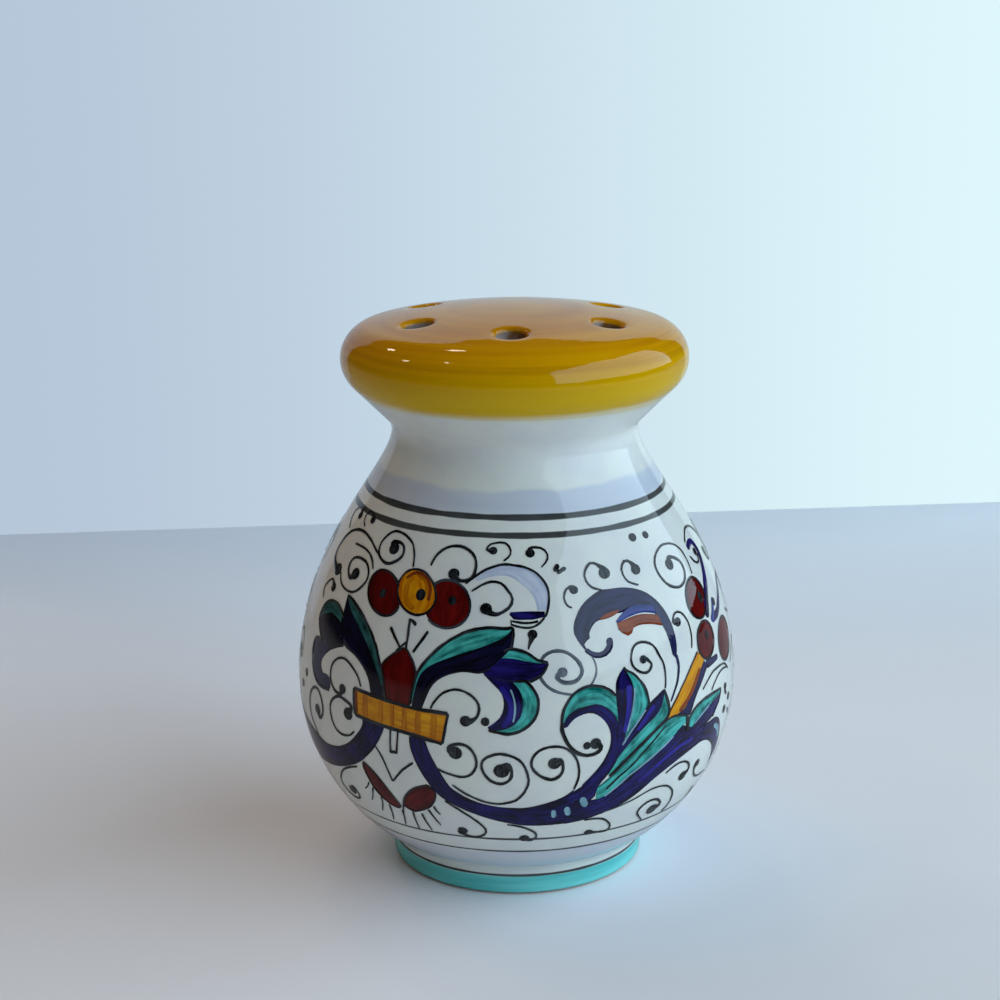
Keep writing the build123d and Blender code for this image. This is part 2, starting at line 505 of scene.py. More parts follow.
def makePotMaterial():
    material, tree, shader = newMaterial("tinGlaze")
    spot = addNode(tree, "TexCoord").outputs["Object"]
    height = heightOf(tree, spot)
    hairs = noiseOf(tree, stretched(tree, spot, 11, 11, 860), 1.0, 3.0, 0.6)
    ragged = sumOf(tree, "ADD", height, sumOf(tree, "MULTIPLY", sumOf(tree, "SUBTRACT", hairs, 0.5), 3.0))
    capMask = rangeOf(tree, ragged, *pot["capFade"])
    ridges = sumOf(tree, "MULTIPLY", sumOf(tree, "MULTIPLY", hairs, capMask), 0.3)
    skin = glazeSurface(tree, shader, pot["bump"], ridges)
    colour = mixOf(tree, rangeOf(tree, skin["Tint"], 0.3, 0.75), pot["white"], pot["whiteShade"])

    # lavender wash over the shoulder ring, and a pale lavender band above the foot
    bandNoise = noiseOf(tree, stretched(tree, spot, 20, 20, 260), 1.0, 2.0)
    for level, width, paint in pot["lavenderBands"]:
        bandMask = useGroup(tree, ringLine, Level=level, Width=width, Wobble=0.06, Softness=0.5)["Mask"]
        bandMask = sumOf(tree, "MULTIPLY", bandMask, rangeOf(tree, bandNoise, 0.2, 0.7, 0.6, 1.0))
        colour = mixOf(tree, bandMask, colour, pot[paint])

    # five dark rings drawn on the wheel
    lineColour = mixOf(tree, rangeOf(tree, skin["Tint"], 0.4, 0.7), pot["lineBlack"], pot["lineGrey"])
    for level, width in pot["rings"]:
        ring = useGroup(tree, ringLine, Level=level, Width=width, Wobble=0.15, Softness=0.1)["Mask"]
        colour = mixOf(tree, sumOf(tree, "MULTIPLY", ring, pot["ringStrength"]), colour, lineColour)

    # turquoise foot
    footEdge = noiseOf(tree, stretched(tree, spot, 60, 60, 8), 1.0, 2.0)
    footTop = sumOf(tree, "ADD", height, sumOf(tree, "MULTIPLY", sumOf(tree, "SUBTRACT", footEdge, 0.5), 0.5))
    footMask = rangeOf(tree, footTop, *pot["footFade"], 1.0, 0.0)
    footStreak = noiseOf(tree, stretched(tree, spot, 40, 40, 500), 1.0, 2.0)
    footColour = mixOf(tree, rangeOf(tree, footStreak, 0.3, 0.7), pot["turquoise"], pot["turquoisePale"])
    colour = mixOf(tree, footMask, colour, footColour)

    # amber cap, brushed on while the pot turned
    broad = noiseOf(tree, stretched(tree, spot, 22, 22, 140), 1.0, 2.0)
    amber = mixOf(tree, rangeOf(tree, hairs, 0.28, 0.66), pot["amberDeep"], pot["amber"])
    amber = mixOf(tree, rangeOf(tree, broad, 0.35, 0.7, 0.15, 0.6), amber, pot["amber"])
    amber = mixOf(tree, rangeOf(tree, ragged, *pot["lowFade"]), pot["amberLow"], amber)
    amber = mixOf(tree, rangeOf(tree, ragged, *pot["paleFade"]), pot["amberPale"], amber)
    colour = mixOf(tree, capMask, colour, amber)

    # bare clay under the foot, plain glaze inside, and a stain of run amber in the sprinkle holes, darkened
    # further as painted shade of the hollows
    outside = addNode(tree, "Attribute", attribute_name="outside").outputs["Fac"]
    hidden = mixOf(tree, rangeOf(tree, height, *pot["clayFade"]), pot["clay"], pot["white"])
    # painted shade: the brown and grey in the holes are made dark to stand for the shade inside them, over a
    # real amber stain
    stain = rangeOf(tree, noiseOf(tree, spot, 210.0, 2.0), 0.35, 0.6)
    holeStainAndShade = mixOf(tree, stain, pot["holeBrownShaded"], pot["holeGreyShaded"])
    hidden = mixOf(tree, rangeOf(tree, height, *pot["holeStainShadeFade"]), hidden, holeStainAndShade)
    colour = mixOf(tree, outside, hidden, colour)
    bareFoot = rangeOf(tree, height, *pot["bareFade"], 1.0, 0.0)
    colour = mixOf(tree, bareFoot, colour, pot["clay"])
    feed(tree, shader.inputs["Base Color"], colour)
    return material


def finishPiece(name, shell, material, body):
    bmesh.ops.scale(shell, vec=(mm, mm, mm), verts=shell.verts)
    for edge in shell.edges:
        edge.smooth = len(edge.link_faces) == 2 and edge.calc_face_angle() < radians(crease)
    for face in shell.faces:
        face.smooth = True
    mesh = bpy.data.meshes.new(name)
    shell.to_mesh(mesh)
    shell.free()
    mesh.materials.append(material)
    piece = bpy.data.objects.new(name, mesh)
    bpy.context.scene.collection.objects.link(piece)
    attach(piece, body)
    print(name, len(mesh.polygons), "faces")
    return piece


def makePot():
    shell = bmesh.new()
    layer = shell.verts.layers.float.new("outside")
    outsideWire(shell)
    profile = [(vert.co.z, vert.co.x) for vert in shell.verts]
    discWire(shell, 0)
    for vert in shell.verts:
        vert[layer] = 1.0
    insideWire(shell)
    discWire(shell, pot["wall"])
    wires = shell.verts[:] + shell.edges[:]
    addCap(shell, layer)
    spinRound(shell, wires)
    bmesh.ops.remove_doubles(shell, verts=shell.verts, dist=pot["weld"])
    bmesh.ops.recalc_face_normals(shell, faces=shell.faces)
    loose = [edge for edge in shell.edges if len(edge.link_faces) != 2]
    print("pot open edges", len(loose))
    piece = finishPiece("glazed_pot", shell, makePotMaterial(), "pot")
    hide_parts("ceramic_body")
    return sorted(profile)


profile = makePot()


# Brush decoration. Places are degrees round the pot from its front, then millimetres of height.
# The front half of the ornament is drawn once and repeated on the back.
brush = {
    "lift": 0.030,  # how far the lowest paint stands off the glaze
    "layer": 0.014,  # how far each later coat stands over the one below
    "depth": 0.07,
    "stagger": 0.0003,  # how far each dab of a coat stands over the last, so that no two share a face
    "staggerCount": 40,
    "cell": 1.1,
    "lineCell": 0.55,
    "leastSteps": 6,
    "rowWidth": 1.6,
    "curveSteps": 9,
    "easing": 0.7,  # how much closer the steps lie at the ends of a stroke
    "probe": 0.6,  # reach over which the slope of the glaze is taken
    "turns": (0, 180),
    "swell": 3.4,  # length of a scroll's swelling, in radii of its head
    "headWidth": 0.66,  # half width of a scroll's line at its head, in radii of the head
    "headFlat": 0.94,
    "dotSteps": 8,
    "roundSteps": 16,
    "roundWidth": 0.42,
    "slowWobble": (0.1, 0.35),  # strength and frequency
    "fastWobble": (0.3, 0.8),
    "fineWidth": 0.5,  # lines finer than this take the whole fast wobble
    "drift": (0.06, 0.6),
    "bluntness": 0.02,
    "markSize": 10,  # millimetres of paint to one unit of its streaks
    "seedStep": 3.7,
    "bump": 0.35,
}
plainPaint = {"load": 0.5, "streaks": 0.9, "pooling": 0.2, "grain": 0.8, "mottle": 230.0}
levels = [level for level, reach in profile]


def radiusAt(height):
    place = min(max(bisect(levels, height), 1), len(profile) - 1)
    (low, inner), (high, outer) = profile[place - 1], profile[place]
    return inner + (outer - inner) * (height - low) / (high - low)


def slopeAt(height):
    probe = brush["probe"]
    return (radiusAt(height + probe) - radiusAt(height - probe)) / (2 * probe)


def onPot(spot, lift):
    # the nearest place on the glaze, raised by the thickness of the paint
    lean = slopeAt(spot.z)
    size = hypot(1, lean)
    reach = radiusAt(spot.z) + lift / size
    way = Vector((spot.x, spot.y, 0)).normalized()
    return Vector((way.x * reach, way.y * reach, spot.z - lift * lean / size))


def potSpot(place, lift=0.0):
    turn = radians(place[0])
    return onPot(Vector((sin(turn), -cos(turn), place[1])), lift)


def nearby(place, right, up):
    # a place so many millimetres to the right and up along the glaze
    reach = radiusAt(place[1])
    return (place[0] + degrees(right / reach), place[1] + up / hypot(1, slopeAt(place[1])))


def smoothPath(places, turn):
    knots = [Vector((place[0] + turn, place[1])) for place in places]
    path = []
    for number in range(len(knots) - 1):
        start, end = knots[number], knots[number + 1]
        before = knots[max(number - 1, 0)]
        after = knots[min(number + 2, len(knots) - 1)]
        leave = start + (end - before) / 6
        arrive = end - (after - start) / 6
        path += interpolate_bezier(start, leave, arrive, end, brush["curveSteps"])[:-1]
    path.append(knots[-1])
    spots = [potSpot(place) for place in path]
    lengths = [0.0]
    for first, second in zip(spots, spots[1:]):
        lengths.append(lengths[-1] + (second - first).length)
    return path, lengths


def evenPath(path, lengths, count, easing=0.0):
    places = []
    for number in range(count + 1):
        share = number / count
        share -= easing * sin(2 * pi * share) / (2 * pi)
        target = share * lengths[-1]
        place = min(max(bisect(lengths, target), 1), len(lengths) - 1)
        span = max(lengths[place] - lengths[place - 1], 1e-6)
        places.append(path[place - 1].lerp(path[place], (target - lengths[place - 1]) / span))
    return places


def newSheet():
    sheet = bmesh.new()
    layers = {
        "uv": sheet.loops.layers.uv.new("brush"),
        "edge": sheet.verts.layers.float.new("brushEdge"),
        "seed": sheet.verts.layers.float.new("brushSeed"),
    }
    return sheet, layers


def liftOf(easel):
    step = easel["count"] % brush["staggerCount"]
    return brush["lift"] + easel["coat"] * brush["layer"] + step * brush["stagger"]


def layDab(easel, spots, marks):
    # one dab of paint: rows of spots, with marks of how far along, across and to the edge each one is
    along = len(spots[0]) - 1
    dab, layers = newSheet()
    made = bmesh.ops.create_grid(dab, x_segments=along, y_segments=len(spots) - 1, size=1)["verts"]
    easel["count"] += 1
    places = {}
    for number, vert in enumerate(made):
        row, column = divmod(number, along + 1)
        vert.co = spots[row][column]
        far, wide, vert[layers["edge"]] = marks[row][column]
        vert[layers["seed"]] = easel["count"] * brush["seedStep"]
        places[vert] = (far / brush["markSize"], wide / brush["markSize"])
    for face in dab.faces:
        for loop in face.loops:
            loop[layers["uv"]].uv = places[loop.vert]
    bmesh.ops.solidify(dab, geom=dab.faces[:], thickness=brush["depth"])
    dab.to_mesh(easel["dab"])
    dab.free()
    easel["sheet"].from_mesh(easel["dab"])


def addStroke(easel, places, width, head=0.0):
    startWidth, endWidth = width if isinstance(width, tuple) else (width, width)
    slowStrength, slowFrequency = brush["slowWobble"]
    fastStrength, fastFrequency = brush["fastWobble"]
    driftStrength, driftFrequency = brush["drift"]
    path, lengths = smoothPath(places, easel["turn"])
    total = lengths[-1]
    count = max(brush["leastSteps"], round(total / brush["lineCell"]))
    line = evenPath(path, lengths, count, brush["easing"])
    centres = [potSpot(place) for place in line]
    lift = liftOf(easel)
    rows = max(2, 2 * round(max(startWidth, endWidth, 2 * head) / brush["rowWidth"]))
    spots = [[] for row in range(rows + 1)]
    marks = [[] for row in range(rows + 1)]
    far = 0.0
    for number, centre in enumerate(centres):
        ahead = centres[min(number + 1, count)] - centres[max(number - 1, 0)]
        far += (centre - centres[max(number - 1, 0)]).length
        left = max(total - far, 0.0)
        wide = startWidth + (endWidth - startWidth) * far / total
        slow = slowStrength * noise.noise(centre * slowFrequency)
        fast = fastStrength * min(1, brush["fineWidth"] / wide) * noise.noise(centre * fastFrequency)
        wide *= 1 + slow + fast
        swell = max(1 - left / (head * brush["swell"]), 0.0) if head else 0.0
        wide += (2 * head - wide) * swell * swell * (3 - 2 * swell)
        end = min(far, left) / (wide / 2)
        wide *= sqrt(max(1 - (1 - min(end, 1.0)) ** 2, brush["bluntness"]))
        lean = slopeAt(centre.z)
        normal = Vector((centre.x, centre.y, -lean * hypot(centre.x, centre.y))).normalized()
        side = normal.cross(ahead).normalized()
        drift = driftStrength * noise.noise(centre * driftFrequency + Vector((9, 0, 0)))
        for row in range(rows + 1):
            across = 2 * row / rows - 1
            spots[row].append(onPot(centre + side * (across * wide / 2 + drift), lift))
            marks[row].append((far, across * wide / 2, abs(across)))
    layDab(easel, spots, marks)


def addFill(easel, first, second):
    # paint between two edges that run the same way
    pathA, lengthsA = smoothPath(first, easel["turn"])
    pathB, lengthsB = smoothPath(second, easel["turn"])
    total = max(lengthsA[-1], lengthsB[-1])
    count = max(brush["leastSteps"], round(total / brush["cell"]))
    lineA = evenPath(pathA, lengthsA, count)
    lineB = evenPath(pathB, lengthsB, count)
    middle = count // 2
    width = max((potSpot(a) - potSpot(b)).length for a, b in zip(lineA, lineB))
    ahead = potSpot(lineA[middle + 1]) - potSpot(lineA[middle - 1])
    over = potSpot(lineA[middle]) - potSpot(lineB[middle])
    outwards = potSpot(lineA[middle], 1.0) - potSpot(lineA[middle])
    if ahead.cross(over).dot(outwards) < 0:
        lineA, lineB = lineB, lineA
    rows = max(2, round(width / brush["cell"]))
    lift = liftOf(easel)
    spots, marks = [], []
    for row in range(rows + 1):
        share = row / rows
        spots.append([potSpot(b.lerp(a, share), lift) for a, b in zip(lineA, lineB)])
        edge = abs(2 * share - 1)
        marks.append([(total * number / count, width * share, edge) for number in range(count + 1)])
    layDab(easel, spots, marks)


def arcPlaces(place, wide, tall, lean, start, sweep, steps):
    turns = [radians(start + sweep * step / steps) for step in range(steps + 1)]
    return [nearby(place, wide * cos(turn) + lean * tall * sin(turn), tall * sin(turn)) for turn in turns]


def addDot(easel, place, wide, tall, lean=0.0):
    left = arcPlaces(place, wide, tall, lean, 90, 180, brush["dotSteps"])
    right = arcPlaces(place, wide, tall, lean, 90, -180, brush["dotSteps"])
    addFill(easel, left, right)


def paintMaterial(name, paint):
    material, tree, shader = newMaterial(name)
    glazeSurface(tree, shader, brush["bump"])
    whole = {**plainPaint, **paint}
    fields = ("dense", "thin", "load", "streaks", "pooling", "grain", "mottle")
    mark = useGroup(tree, brushMark, **{field.capitalize(): whole[field] for field in fields})
    feed(tree, shader.inputs["Base Color"], mark["Color"])
    return material


def paintPiece(name, materialName, paint):
    easel = {"sheet": newSheet()[0], "dab": bpy.data.meshes.new("dab")}
    easel["count"] = 0
    easel["coat"] = paint["coat"]
    for turn in brush["turns"]:
        easel["turn"] = turn
        for first, second in paint.get("fills", []):
            addFill(easel, first, second)
        for berry in paint.get("berries", []):
            addDot(easel, *berry)
        for places, width in paint.get("strokes", []):
            addStroke(easel, places, width)
        for places, width, place, radius in paint.get("scrolls", []):
            addStroke(easel, places + [place], width, brush["headWidth"] * radius)
            addDot(easel, place, radius, brush["headFlat"] * radius)
        for place, wide, tall, lean, start, sweep in paint.get("rounds", []):
            ring = arcPlaces(place, wide, tall, lean, start, sweep, brush["roundSteps"])
            addStroke(easel, ring, brush["roundWidth"])
    bpy.data.meshes.remove(easel["dab"])
    finishPiece(name, easel["sheet"], paintMaterial(materialName, paint), "pot")


paleWash = {
    "dense": tone(172, 182, 206),
    "thin": tone(208, 215, 225),
    "pooling": 0.3,
    "grain": 0.6,
    "coat": 0,
    "fills": [
        (
            [(-10.5, 66.6), (-7, 67.9), (-2.5, 68.7), (0, 68.7), (5, 68.2), (8.5, 67), (10.5, 65.4),
             (10.9, 63.8), (10.3, 61.5)],
            [(-9.5, 66.2), (-6, 66.9), (-2.5, 67.2), (0.5, 66.9), (3.4, 65.8), (5.4, 64.8), (6.8, 63.6),
             (7.4, 62.4), (7.6, 61.4)],
        ),
    ],
}

tealLeaves = {
    "dense": tone(4, 90, 84),
    "thin": tone(76, 186, 176),
    "load": 0.42,
    "streaks": 1.3,
    "pooling": 0.35,
    "mottle": 520.0,
    "coat": 1,
    "fills": [
        # leaves of the left flower
        (
            [(-24.7, 45), (-23.5, 50), (-21, 52.5), (-18, 54.7), (-15, 56.3), (-11, 57.7), (-6, 58.5),
             (-1, 58.6), (0.6, 58.6)],
            [(-23.6, 45), (-22.4, 48.6), (-19.4, 50.8), (-15.6, 52.1), (-10.6, 53.5), (-5.6, 54.8),
             (-0.6, 56.6), (0.5, 58)],
        ),
        (
            [(-4, 53.6), (-1, 54.7), (0.8, 55), (4, 54.5), (7, 53.1), (9.2, 52.6)],
            [(-4.4, 52.8), (0, 52.7), (4, 52.2), (8, 51.8)],
        ),
        (
            [(1, 49.8), (4, 49.5), (6.3, 47.5), (6.9, 45.2), (6, 42.9), (3.5, 41), (0, 40.1), (-3.5, 40.3)],
            [(0, 49.2), (1.9, 47.3), (2.6, 45.5), (2.1, 43.6), (0.5, 42.2), (-2.8, 41.5)],
        ),
        # leaves on the right
        (
            [(12.6, 41.6), (12.9, 43.2), (13.8, 44.8), (15.5, 46.5), (17.7, 47.5), (20.3, 47.9),
             (22.9, 47.5), (25, 46.7), (27, 45.3)],
            [(13.6, 41.4), (14.9, 42.6), (16.6, 43.3), (19, 43.7), (21.6, 43.7), (23.9, 42.8),
             (25.6, 41.4), (27.2, 40.2)],
        ),
        (
            [(29.7, 50), (32.3, 48.6), (34.5, 46.6), (35.7, 44.3), (36, 42.4), (34.5, 41.2), (32.4, 39.6),
             (30, 37.6)],
            [(29.4, 49.4), (30.5, 47.4), (30.8, 46), (30.3, 43.7), (29.4, 41.3), (28.1, 38.7), (27.6, 37)],
        ),
        (
            [(41, 44.5), (41.7, 43), (42.3, 41), (41.8, 39.5), (39, 38.1), (35.9, 36.6), (32.6, 34.9),
             (29, 32.8), (25, 30)],
            [(40.6, 44), (39.4, 42.2), (37.3, 40.8), (34.3, 39.4), (30.9, 37.6), (28.2, 35.7),
             (24.6, 32.8)],
        ),
        (
            [(48.5, 38.3), (45.3, 38.9), (42.4, 38.8), (39, 37.9), (35.3, 36.2), (31.7, 34), (28.2, 31.8),
             (25.3, 29.9), (22, 28)],
            [(48.5, 37), (47, 35.8), (44, 34.4), (40.2, 32.8), (35.2, 30.7), (30.6, 28.7), (27.2, 26.7),
             (24.4, 25.2), (22.3, 25)],
        ),
        (
            [(49.5, 35), (49.6, 35.9), (50.1, 37.5), (52.6, 38.9), (56.4, 39.7), (60.9, 39.8),
             (66.3, 39.5)],
            [(49.9, 34), (50.4, 34.3), (51.6, 34.8), (54, 35.6), (57, 36.6), (61.2, 37.6), (65.8, 38.8)],
        ),
    ],
}

navyLeaves = {
    "dense": tone(8, 6, 34),
    "thin": tone(36, 30, 112),
    "load": 0.68,
    "streaks": 1.1,
    "pooling": 0.25,
    "grain": 1.0,
    "coat": 2,
    "fills": [
        (
            [(-7, 51.3), (-4.2, 53.2), (0, 53.5), (4, 53), (7, 52.6), (9.5, 52.5)],
            [(-6, 50.4), (-2, 49.6), (2, 49.3), (5, 49.5), (8, 50.6), (9.5, 52.2)],
        ),
        (
            [(0.5, 49.6), (2.6, 47.8), (3.3, 45.6), (2.7, 43.2), (0.7, 41.5), (-2, 40.7), (-4.8, 40.6)],
            [(-6.3, 50.6), (-4, 49), (-2, 47.5), (-1.3, 45.6), (-2, 43.3), (-4, 41.8), (-5.2, 41.2)],
        ),
        # long stem under the right of the flower
        (
            [(-25.3, 37.9), (-25, 35.6), (-23.5, 32.5), (-21, 29.1), (-18, 26.3), (-13, 24.2), (-8, 22.7),
             (-2.5, 21.5), (5, 20.5), (15, 20.5)],
            [(-21, 37.9), (-20, 35.6), (-18, 32.5), (-15.5, 29.1), (-14, 28), (-10, 26.3), (-5, 25.2),
             (0, 24.8), (5, 24.9), (12.5, 26.5), (16, 28.2)],
        ),
        (
            [(14.6, 20.4), (20, 20.9), (25, 21.8), (30, 23), (34.8, 24.9), (39.4, 27.2), (44.6, 29),
             (50.6, 30.4), (56, 31.2)],
            [(14.6, 26.5), (18.5, 25.6), (22.3, 25.4), (24.5, 25.9), (27.5, 27.5), (30.9, 29.5),
             (35.5, 31.5), (40.5, 33.6), (44.3, 35.2), (47.2, 36.6), (49.5, 35.8), (53, 35), (57, 34.6)],
        ),
        (
            [(14.8, 27.3), (17.5, 28.5), (20, 30), (22.4, 32.1)],
            [(15.2, 24), (19, 24.6), (21.8, 26.2), (22.2, 28), (24, 30)],
        ),
        (
            [(12.8, 41.3), (13.5, 42.2), (14.5, 43.2), (16.2, 44), (18.8, 44.4), (21.8, 44.5),
             (24.3, 43.5), (26.2, 41.9), (27.4, 39.5), (27.7, 37), (27.2, 34), (25.2, 31), (22, 28.3)],
            [(12.8, 40.7), (13.9, 40.9), (15.3, 42.1), (17.4, 42.9), (20, 43.1), (22.1, 42.3),
             (23.8, 40.9), (24.8, 39.2), (25, 37.6), (24.6, 35.7), (23.2, 33.5), (21.4, 31.7), (18, 29)],
        ),
        (
            [(26, 34), (26.8, 38), (27, 41.1), (26.8, 43.3), (26.7, 45.5), (26.9, 47.6), (27.8, 49),
             (29.5, 50.3)],
            [(28.6, 35), (29.1, 38.7), (30.4, 41.3), (31.3, 43.7), (31.8, 46.1), (31.4, 47.6),
             (29.8, 50.1)],
        ),
        (
            [(40.8, 44.7), (38.2, 43.7), (35.5, 42.5), (33, 40.6), (30.5, 38.8), (28.7, 36.8), (26, 34)],
            [(41, 43.8), (40, 41.7), (38, 40.2), (34.9, 38.8), (31.5, 37), (28.8, 35.1), (25.4, 32.2)],
        ),
        (
            [(49.8, 34.7), (51, 35.3), (53.4, 36.2), (56.5, 37.2), (60.9, 38.2), (65.7, 38.8),
             (66.3, 39.3)],
            [(50, 34), (52.4, 34), (57.7, 34.6), (61.3, 35.2), (62.6, 36.2), (65.1, 37.6), (66.3, 39.1)],
        ),
        (
            [(57, 34.6), (60, 34.5), (63.5, 34.5), (66.5, 33.3), (68.5, 31), (69.5, 29), (70, 26.3)],
            [(55, 31.2), (58.5, 31), (62, 29.8), (65, 28), (67, 25.7), (67.5, 23.3)],
        ),
        ([(0.2, 61.2), (3.2, 61.3), (6.4, 61.3), (9.6, 61.2)], [(0, 60.8), (1.4, 60), (4.1, 60),
          (6.7, 60), (9.4, 60.4)]),
        # left stem
        (
            [(-31.9, 39.6), (-33.6, 36.6), (-36.3, 33.6), (-39.3, 31.4), (-41.8, 29.9), (-46.1, 28.2),
             (-52.6, 26.4), (-59.6, 25.2), (-67.4, 24.7), (-74.5, 26.2), (-80.5, 29.6), (-84.5, 35)],
            [(-39.5, 39.1), (-39.8, 37.5), (-42.1, 35.3), (-45.4, 33.1), (-49.3, 31.5), (-53.5, 30.6),
             (-57.7, 30.3), (-61.1, 30.8), (-66, 31.6), (-72.5, 32.4), (-79, 33.6), (-84.4, 35.4)],
        ),
    ],
    "strokes": [
        ([(64.5, 53.8), (67, 56.5), (71, 59.3), (74.5, 62), (76.5, 64.3), (75, 66.3), (72, 66.5),
          (69, 65.9)], (2.0, 1.2)),
        ([(67, 52.9), (73, 53.4), (78, 55.2), (84, 57.2), (89, 57.6)], (1.6, 0.9)),
    ],
}

# nearly black leaves of the left flower
darkLeaves = {
    "dense": tone(5, 6, 12),
    "thin": tone(20, 20, 58),
    "load": 0.66,
    "streaks": 1.1,
    "pooling": 0.25,
    "grain": 1.0,
    "coat": 2.2,
    "fills": [
        (
            [(-24.6, 43.6), (-24.2, 46), (-23.4, 48.4), (-22.6, 49.8), (-20, 51.5), (-16, 52.9),
             (-11, 54.3), (-6, 55.6), (-1, 57.2), (0.8, 58.6)],
            [(-21.8, 43.6), (-20.2, 46.8), (-18.5, 48.7), (-15.5, 50.1), (-11.5, 50.9), (-6.5, 50.9),
             (-2.5, 53.2), (0.3, 55.2), (0.9, 56.6)],
        ),
        (
            [(-32.6, 44), (-33.6, 46), (-34.6, 47.3), (-36.2, 49.3), (-38.3, 51.3), (-41, 53.3),
             (-44, 54.9), (-47, 56.4), (-50, 57.8), (-53, 59.7)],
            [(-37, 44.3), (-38.2, 46.8), (-40.5, 48.7), (-44, 50.2), (-48, 51), (-51, 52.2),
             (-52.3, 54.5), (-52.6, 57), (-53, 59.5)],
        ),
        (
            [(-50, 53), (-52.5, 54.8), (-55.5, 55.4), (-58.5, 55.5), (-61, 55), (-63, 54.4), (-65, 53.5)],
            [(-49, 51), (-52, 50.3), (-55.5, 49.7), (-59, 50), (-62.5, 51.5), (-64.8, 53.2)],
        ),
    ],
}

darkTeal = {
    "dense": tone(8, 36, 38),
    "thin": tone(54, 110, 110),
    "load": 0.45,
    "streaks": 1.2,
    "pooling": 0.35,
    "mottle": 520.0,
    "coat": 1.2,
    "fills": [
        (
            [(-32.9, 46), (-33.3, 47.5), (-34.8, 49.7), (-36.5, 52.2), (-39, 54.5), (-42, 56.3),
             (-45, 57.7), (-49, 59), (-52.8, 59.6)],
            [(-34.4, 45.6), (-35.6, 46.8), (-37.2, 48.6), (-39.2, 50.5), (-41.8, 52.4), (-44.6, 54),
             (-47.4, 55.5), (-50.2, 57), (-52.4, 59)],
        ),
        (
            [(-51.5, 55.9), (-55, 57.2), (-58.5, 57.6), (-61.5, 57.2), (-64, 55.9), (-65, 53.9)],
            [(-52.2, 53.8), (-55.5, 54.6), (-58.5, 54.7), (-61, 54.2), (-62.8, 53.6), (-64.4, 53.3)],
        ),
    ],
}

# royal blue strokes down the leaves
royalTouches = {
    "dense": tone(22, 16, 96),
    "thin": tone(50, 44, 152),
    "streaks": 1.0,
    "grain": 1.0,
    "coat": 2.6,
    "strokes": [
        ([(-2.1, 48.6), (0, 46.1), (0.4, 43.5), (-1.7, 41.2)], (1.2, 0.8)),
        ([(30.6, 47), (30, 42.6), (28.7, 38.4)], (1.3, 0.8)),
        ([(37.7, 42.3), (32.4, 38.2)], (1.0, 0.7)),
        ([(52, 33), (46, 32.2), (40, 30.2), (34, 27.4)], (0.9, 0.6)),
    ],
}

redBerries = {
    "dense": tone(66, 4, 6),
    "thin": tone(112, 16, 14),
    "load": 0.6,
    "streaks": 0.8,
    "pooling": 0.4,
    "grain": 0.5,
    "coat": 1,
    "berries": [
        ((-38.8, 62.1), 4.15, 4.1, -0.3),
        ((-17.8, 62), 4.5, 4.35, -0.06),
        ((61.9, 58), 3.75, 3.9, 0.1),
        ((60.9, 50.3), 3.4, 3.5, 0.1),
        ((73.6, 47.9), 4.2, 4.0, 0.2),
    ],
    "fills": [
        (
            [(-28.3, 53.8), (-31, 52.5), (-34.2, 50.3), (-33.8, 48.5), (-32.9, 46), (-32, 43.3)],
            [(-28.1, 53.8), (-27, 53.3), (-25, 51.5), (-24, 49.5), (-24.6, 46), (-25.3, 43.2)],
        ),
        (
            [(-40.8, 30), (-41, 29), (-40, 26.7), (-38.5, 24.3), (-35.5, 22.3), (-32.5, 21.5), (-31.2, 22)],
            [(-40.4, 30), (-37.5, 28.7), (-35, 26.7), (-32.5, 24), (-31.1, 22.3)],
        ),
        (
            [(-30, 22.8), (-28.5, 25), (-25, 27.3), (-21, 28.3), (-19.6, 27.6)],
            [(-29.8, 22.6), (-27, 21.7), (-22.5, 23), (-20, 25), (-19.3, 27.2)],
        ),
    ],
}

ochreBand = {
    "dense": tone(184, 100, 2),
    "thin": tone(228, 164, 18),
    "load": 0.45,
    "pooling": 0.35,
    "coat": 3,
    "berries": [((-27.8, 63.3), 4.1, 4.15, -0.2)],
    "fills": [
        (
            [(-42.8, 44.3), (-35, 43.9), (-25, 43.3), (-15, 43.1)],
            [(-42, 39.5), (-33.5, 39), (-25, 38.5), (-16.5, 37.5)],
        ),
        (
            [(41.9, 39.3), (46.5, 43.3), (51.5, 46.8), (55.5, 49.1)],
            [(43.5, 38.7), (45.3, 39.3), (48.1, 39.9), (50.6, 41.9), (54.9, 45.2), (58, 47.1)],
        ),
    ],
}

rustTouches = {
    "dense": tone(96, 36, 12),
    "thin": tone(150, 70, 26),
    "pooling": 0.3,
    "coat": 4,
    "fills": [
        ([(24.6, 59.2), (26.9, 59.9), (30.7, 60.2)], [(24.6, 59), (27.1, 59.1), (29.5, 59.5),
          (30.7, 59.9)]),
        (
            [(29.5, 58), (30.9, 58.2), (35.4, 58.7), (38.8, 58.6), (43.2, 57.9)],
            [(29.7, 56.9), (31.2, 56), (33.1, 55.5), (34.1, 56.7), (36.9, 57), (40.7, 56.6), (43.9, 55.9)],
        ),
    ],
    "strokes": [
        ([(-42.2, 44), (-41.6, 39.8)], 1.0),
        ([(46, 39.6), (50.5, 42), (55.5, 46)], 0.9),
        ([(-32.2, 65.2), (-29.5, 66.4), (-26, 66.1), (-23.6, 64.4), (-23.4, 62.2)], 0.6),
    ],
}

ochreStripes = {
    "dense": tone(150, 78, 2),
    "thin": tone(206, 132, 10),
    "load": 0.45,
    "coat": 3.6,
    "strokes": [
        ([(-38.8, 43.9), (-38.4, 39.5)], 1.3),
        ([(-33.6, 43.6), (-33.4, 39.2)], 1.1),
        ([(-30.2, 43.4), (-30, 39)], 1.0),
        ([(-26.6, 43.2), (-26.5, 38.8)], 1.0),
        ([(-22.8, 43), (-22.8, 38.5)], 1.2),
        ([(-18.6, 42.9), (-18.9, 38.1)], 1.2),
        ([(-30.2, 65.8), (-31.2, 63.6), (-30, 61.2), (-27.2, 60.6)], 0.9),
        ([(-28.8, 66.4), (-25.2, 65.4), (-24.2, 63.2)], 1.0),
    ],
}

